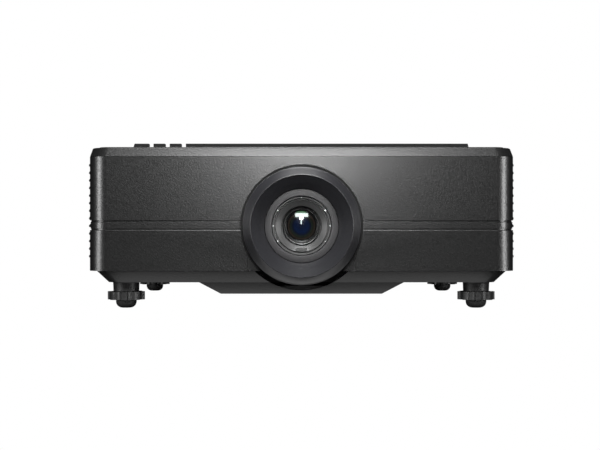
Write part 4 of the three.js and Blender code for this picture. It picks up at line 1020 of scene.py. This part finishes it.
for node, width, height in (
    ("hdmi_socket_a", 10.0, 1.0), ("hdmi_socket_b", 10.0, 1.0), ("usb_socket", 10.8, 1.7),
):
    x, z = middle(node)
    lift = 1.1 * MM if node == "usb_socket" else 0
    tongue = block(
        node + "_tongue", (x - width / 2 * MM, REAR_Y - 11.5 * MM, z + lift - height / 2 * MM),
        (x + width / 2 * MM, REAR_Y - 2 * MM, z + lift + height / 2 * MM),
    )
    soften(tongue, 0.2 * MM)
    finish_piece(tongue, M["socket_black"], "case", slot="socket_black")
x, z = middle("network_socket")
contacts = []
for index in range(8):
    left = x + (index - 3.5) * 1.05 * MM
    wire = block(
        "wire", (left - 0.25 * MM, REAR_Y - 11 * MM, z + 1.8 * MM),
        (left + 0.25 * MM, REAR_Y - 3 * MM, z + 2.3 * MM),
    )
    for vertex in wire.data.vertices:
        if vertex.co.y < REAR_Y - 7 * MM:
            vertex.co.z -= 2.2 * MM
    contacts.append(wire)
finish_piece(
    soften(gather("network_contacts", contacts), 0.1 * MM), M["contact_gold"], "case",
    slot="socket_steel",
)
x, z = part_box("ac_inlet")[0].x + 15 * MM, middle("ac_inlet")[1]
blades = []
for across, up in ((-7, 2.2), (7, 2.2), (0, -2.2)):
    left, low = x + across * MM, z + up * MM
    blades.append(
        block(
            "blade", (left - 1 * MM, REAR_Y - 15.5 * MM, low - 2 * MM),
            (left + 1 * MM, REAR_Y - 3 * MM, low + 2 * MM),
        ),
    )
finish_piece(soften(gather("mains_pins", blades), 0.4 * MM), M["socket_steel"], "case", slot="socket_steel")


def symbol(key, parts):
    """A raised pale mark on a key cap, from flat parts already in place."""
    mark = soften(gather(key + "_mark", parts), 0.05 * MM, 1)
    finish_piece(mark, M["key_legend"], key + "_key", slot="key_grey")


KEY_FACE = REAR_Y + 3.3 * MM


def bar(across, up, width, height):
    low_y, high_y = KEY_FACE - 0.1 * MM, KEY_FACE + 0.12 * MM
    return block(
        "bar", (across - width / 2 * MM, low_y, up - height / 2 * MM),
        (across + width / 2 * MM, high_y, up + height / 2 * MM),
    )


def arrow(across, up, degrees):
    head = rod("head", 1.9 * MM, KEY_FACE - 0.1 * MM, KEY_FACE + 0.12 * MM, sides=3)
    head.rotation_euler = (0, math.radians(degrees), 0)
    head.location = (across, 0, up)
    return settle(head, "head")


for key, degrees in (("up", 0), ("down", 180), ("left", 90), ("right", -90)):
    x, z = middle(key + "_button")
    symbol(key, [arrow(x, z, degrees)])
x, z = middle("menu_button")
symbol("menu", [bar(x, z + step * 1.4 * MM, 4.4, 0.6) for step in (-1, 0, 1)])
x, z = middle("source_button")
symbol(
    "source",
    [
        bar(x, z + 1.5 * MM, 4.2, 0.5), bar(x, z - 1.5 * MM, 4.2, 0.5),
        bar(x - 1.9 * MM, z, 0.5, 2.6), bar(x + 1.9 * MM, z, 0.5, 2.6),
    ],
)
x, z = middle("enter_button")
symbol("enter", [rod("dot", 1.2 * MM, KEY_FACE - 0.1 * MM, KEY_FACE + 0.12 * MM, across=(x, z), sides=32)])
x, z = middle("power_button")
ring = rod("ring", 2.2 * MM, KEY_FACE - 0.1 * MM, KEY_FACE + 0.12 * MM, across=(x, z), sides=48)
cut(ring, rod("core", 1.7 * MM, KEY_FACE - 0.01, KEY_FACE + 0.01, across=(x, z), sides=48))
cut(ring, block("gap", (x - 0.8 * MM, KEY_FACE - 0.01, z), (x + 0.8 * MM, KEY_FACE + 0.01, z + 3 * MM)))
symbol("power", [ring, bar(x, z + 1.5 * MM, 0.5, 2.2)])

# ---------- screws ----------


def screw_master():
    """A pan-head screw with a cross recess, its head up along Z at the origin."""
    head = turned(
        "screw",
        [
            (0, 1.5 * MM), (1.6 * MM, 1.4 * MM), (2.6 * MM, 1.0 * MM), (3.1 * MM, 0.3 * MM),
            (3.1 * MM, -0.6 * MM), (0, -0.6 * MM),
        ],
        steps=40,
        axis="Z",
    )
    cut(head, block("slot", (-1.7 * MM, -0.35 * MM, 0.6 * MM), (1.7 * MM, 0.35 * MM, 0.01)))
    cut(head, block("slot", (-0.35 * MM, -1.7 * MM, 0.6 * MM), (0.35 * MM, 1.7 * MM, 0.01)))
    return soften(head, 0.12 * MM, 2, 40)


master = screw_master()
screws = []
for x in (-0.222, -0.07, 0.07, 0.222):
    for z in (SEAM_Z + 8 * MM, TOP_SEAM_Z - 8 * MM):
        copy = twin(master, "screw")
        copy.rotation_euler = (-math.pi / 2, 0, 0)
        copy.location = (x, REAR_Y + 0.3 * MM, z)
        screws.append(settle(copy, "screw"))
for x in (-0.165, 0.165):
    for depth in (60, 200, 330, 470):
        copy = twin(master, "screw")
        copy.rotation_euler = (math.pi, 0, 0)
        copy.location = (x, y(depth), PAN_FLOOR - 0.3 * MM)
        screws.append(settle(copy, "screw"))
bpy.data.objects.remove(master, do_unlink=True)
finish_piece(gather("case_screws", screws), M["socket_steel"], "case", slot="socket_steel")

# ---------- light, camera and floor ----------


def area_light(name, place, aim, size, power, colour=(1, 1, 1)):
    data = bpy.data.lights.new(name, "AREA")
    data.shape = "RECTANGLE"
    data.size, data.size_y = size
    data.energy = power
    data.color = colour
    lamp = bpy.data.objects.new(name, data)
    bpy.context.collection.objects.link(lamp)
    lamp.location = place
    lamp.rotation_euler = (Vector(aim) - Vector(place)).to_track_quat("-Z", "Y").to_euler()
    lamp.visible_camera = False
    return lamp


area_light("front_soft_box", (0.01, FACE_Y - 0.60, 0.33), (0, FACE_Y, 0.13), (0.28, 0.08), 1.0)
area_light("front_wedge", (0.005, FACE_Y - 0.62, 0.27), (0, FACE_Y, 0.12), (0.06, 0.05), 2.1)
area_light(
    "green_gleam", (0.0, FACE_Y - 0.60, 0.40), (0, FACE_Y, 0.13), (0.22, 0.035), 0.05,
    (0.35, 1.0, 0.45),
)
area_light("front_strip", (0.0, FACE_Y - 0.64, 0.185), (0, FACE_Y, 0.11), (0.018, 0.10), 0.12)
area_light("top_soft_box", (0.0, FACE_Y + 0.22, 0.95), (0, FACE_Y, 0.16), (0.60, 0.35), 4.2)
area_light("top_front_box", (0.0, FACE_Y - 0.25, 0.85), (0, FACE_Y, 0.10), (0.30, 0.15), 5.2)
area_light("lens_light", (0.0, FACE_Y - 0.50, 0.90), (0, FACE_Y, 0.08), (0.20, 0.16), 11.0)
for side_sign in (-1, 1):
    angle = math.radians(63)
    place = (side_sign * 1.0 * math.sin(angle), FACE_Y - 1.0 * math.cos(angle), 0.15)
    area_light("side_strip", place, (side_sign * 0.23, FACE_Y, 0.11), (0.28, 0.45), 7.0)
area_light("under_glow", (0.0, FACE_Y + 0.018, 0.003), (0, FACE_Y + 0.018, 0.1), (0.44, 0.02), 0.035)
area_light("rear_fill", (0.25, REAR_Y + 0.9, 0.40), (0, REAR_Y, 0.11), (0.7, 0.4), 3.0)

world = bpy.data.worlds.new("studio")
bpy.context.scene.world = world
world.use_nodes = True
nodes, links = world.node_tree.nodes, world.node_tree.links
backdrop = nodes["Background"]
backdrop.inputs["Color"].default_value = (1, 1, 1, 1)
backdrop.inputs["Strength"].default_value = 1.0
dim = nodes.new("ShaderNodeBackground")
dim.inputs["Color"].default_value = (0.02, 0.02, 0.021, 1)
seen = nodes.new("ShaderNodeLightPath")
pick = nodes.new("ShaderNodeMixShader")
links.new(seen.outputs["Is Camera Ray"], pick.inputs["Fac"])
links.new(dim.outputs[0], pick.inputs[1])
links.new(backdrop.outputs[0], pick.inputs[2])
links.new(pick.outputs[0], nodes["World Output"].inputs["Surface"])

bpy.ops.object.select_all(action="DESELECT")
bpy.ops.mesh.primitive_plane_add(size=6, location=(0, 0, -0.0005))
floor = bpy.context.object
floor.name = "floor"
paper = bpy.data.materials.new("floor_paper")
paper.use_nodes = True
nodes, links = paper.node_tree.nodes, paper.node_tree.links
matt = nodes["Principled BSDF"]
matt.inputs["Base Color"].default_value = (0.07, 0.07, 0.07, 1)
matt.inputs["Roughness"].default_value = 0.9
floor.data.materials.append(paper)
floor.visible_camera = False
floor.visible_glossy = False

camera_data = bpy.data.cameras.new("camera")
camera_data.lens = 80
camera_data.sensor_width = 36
camera_data.shift_x = 0.02
camera_data.shift_y = -0.0042
camera = bpy.data.objects.new("camera", camera_data)
bpy.context.collection.objects.link(camera)
camera.location = (-0.0154, FACE_Y - 1.505, 0.0994)
camera.rotation_euler = (math.pi / 2, 0, 0)
bpy.context.scene.camera = camera
bpy.context.scene.view_settings.view_transform = "Standard"

bpy.context.view_layer.update()
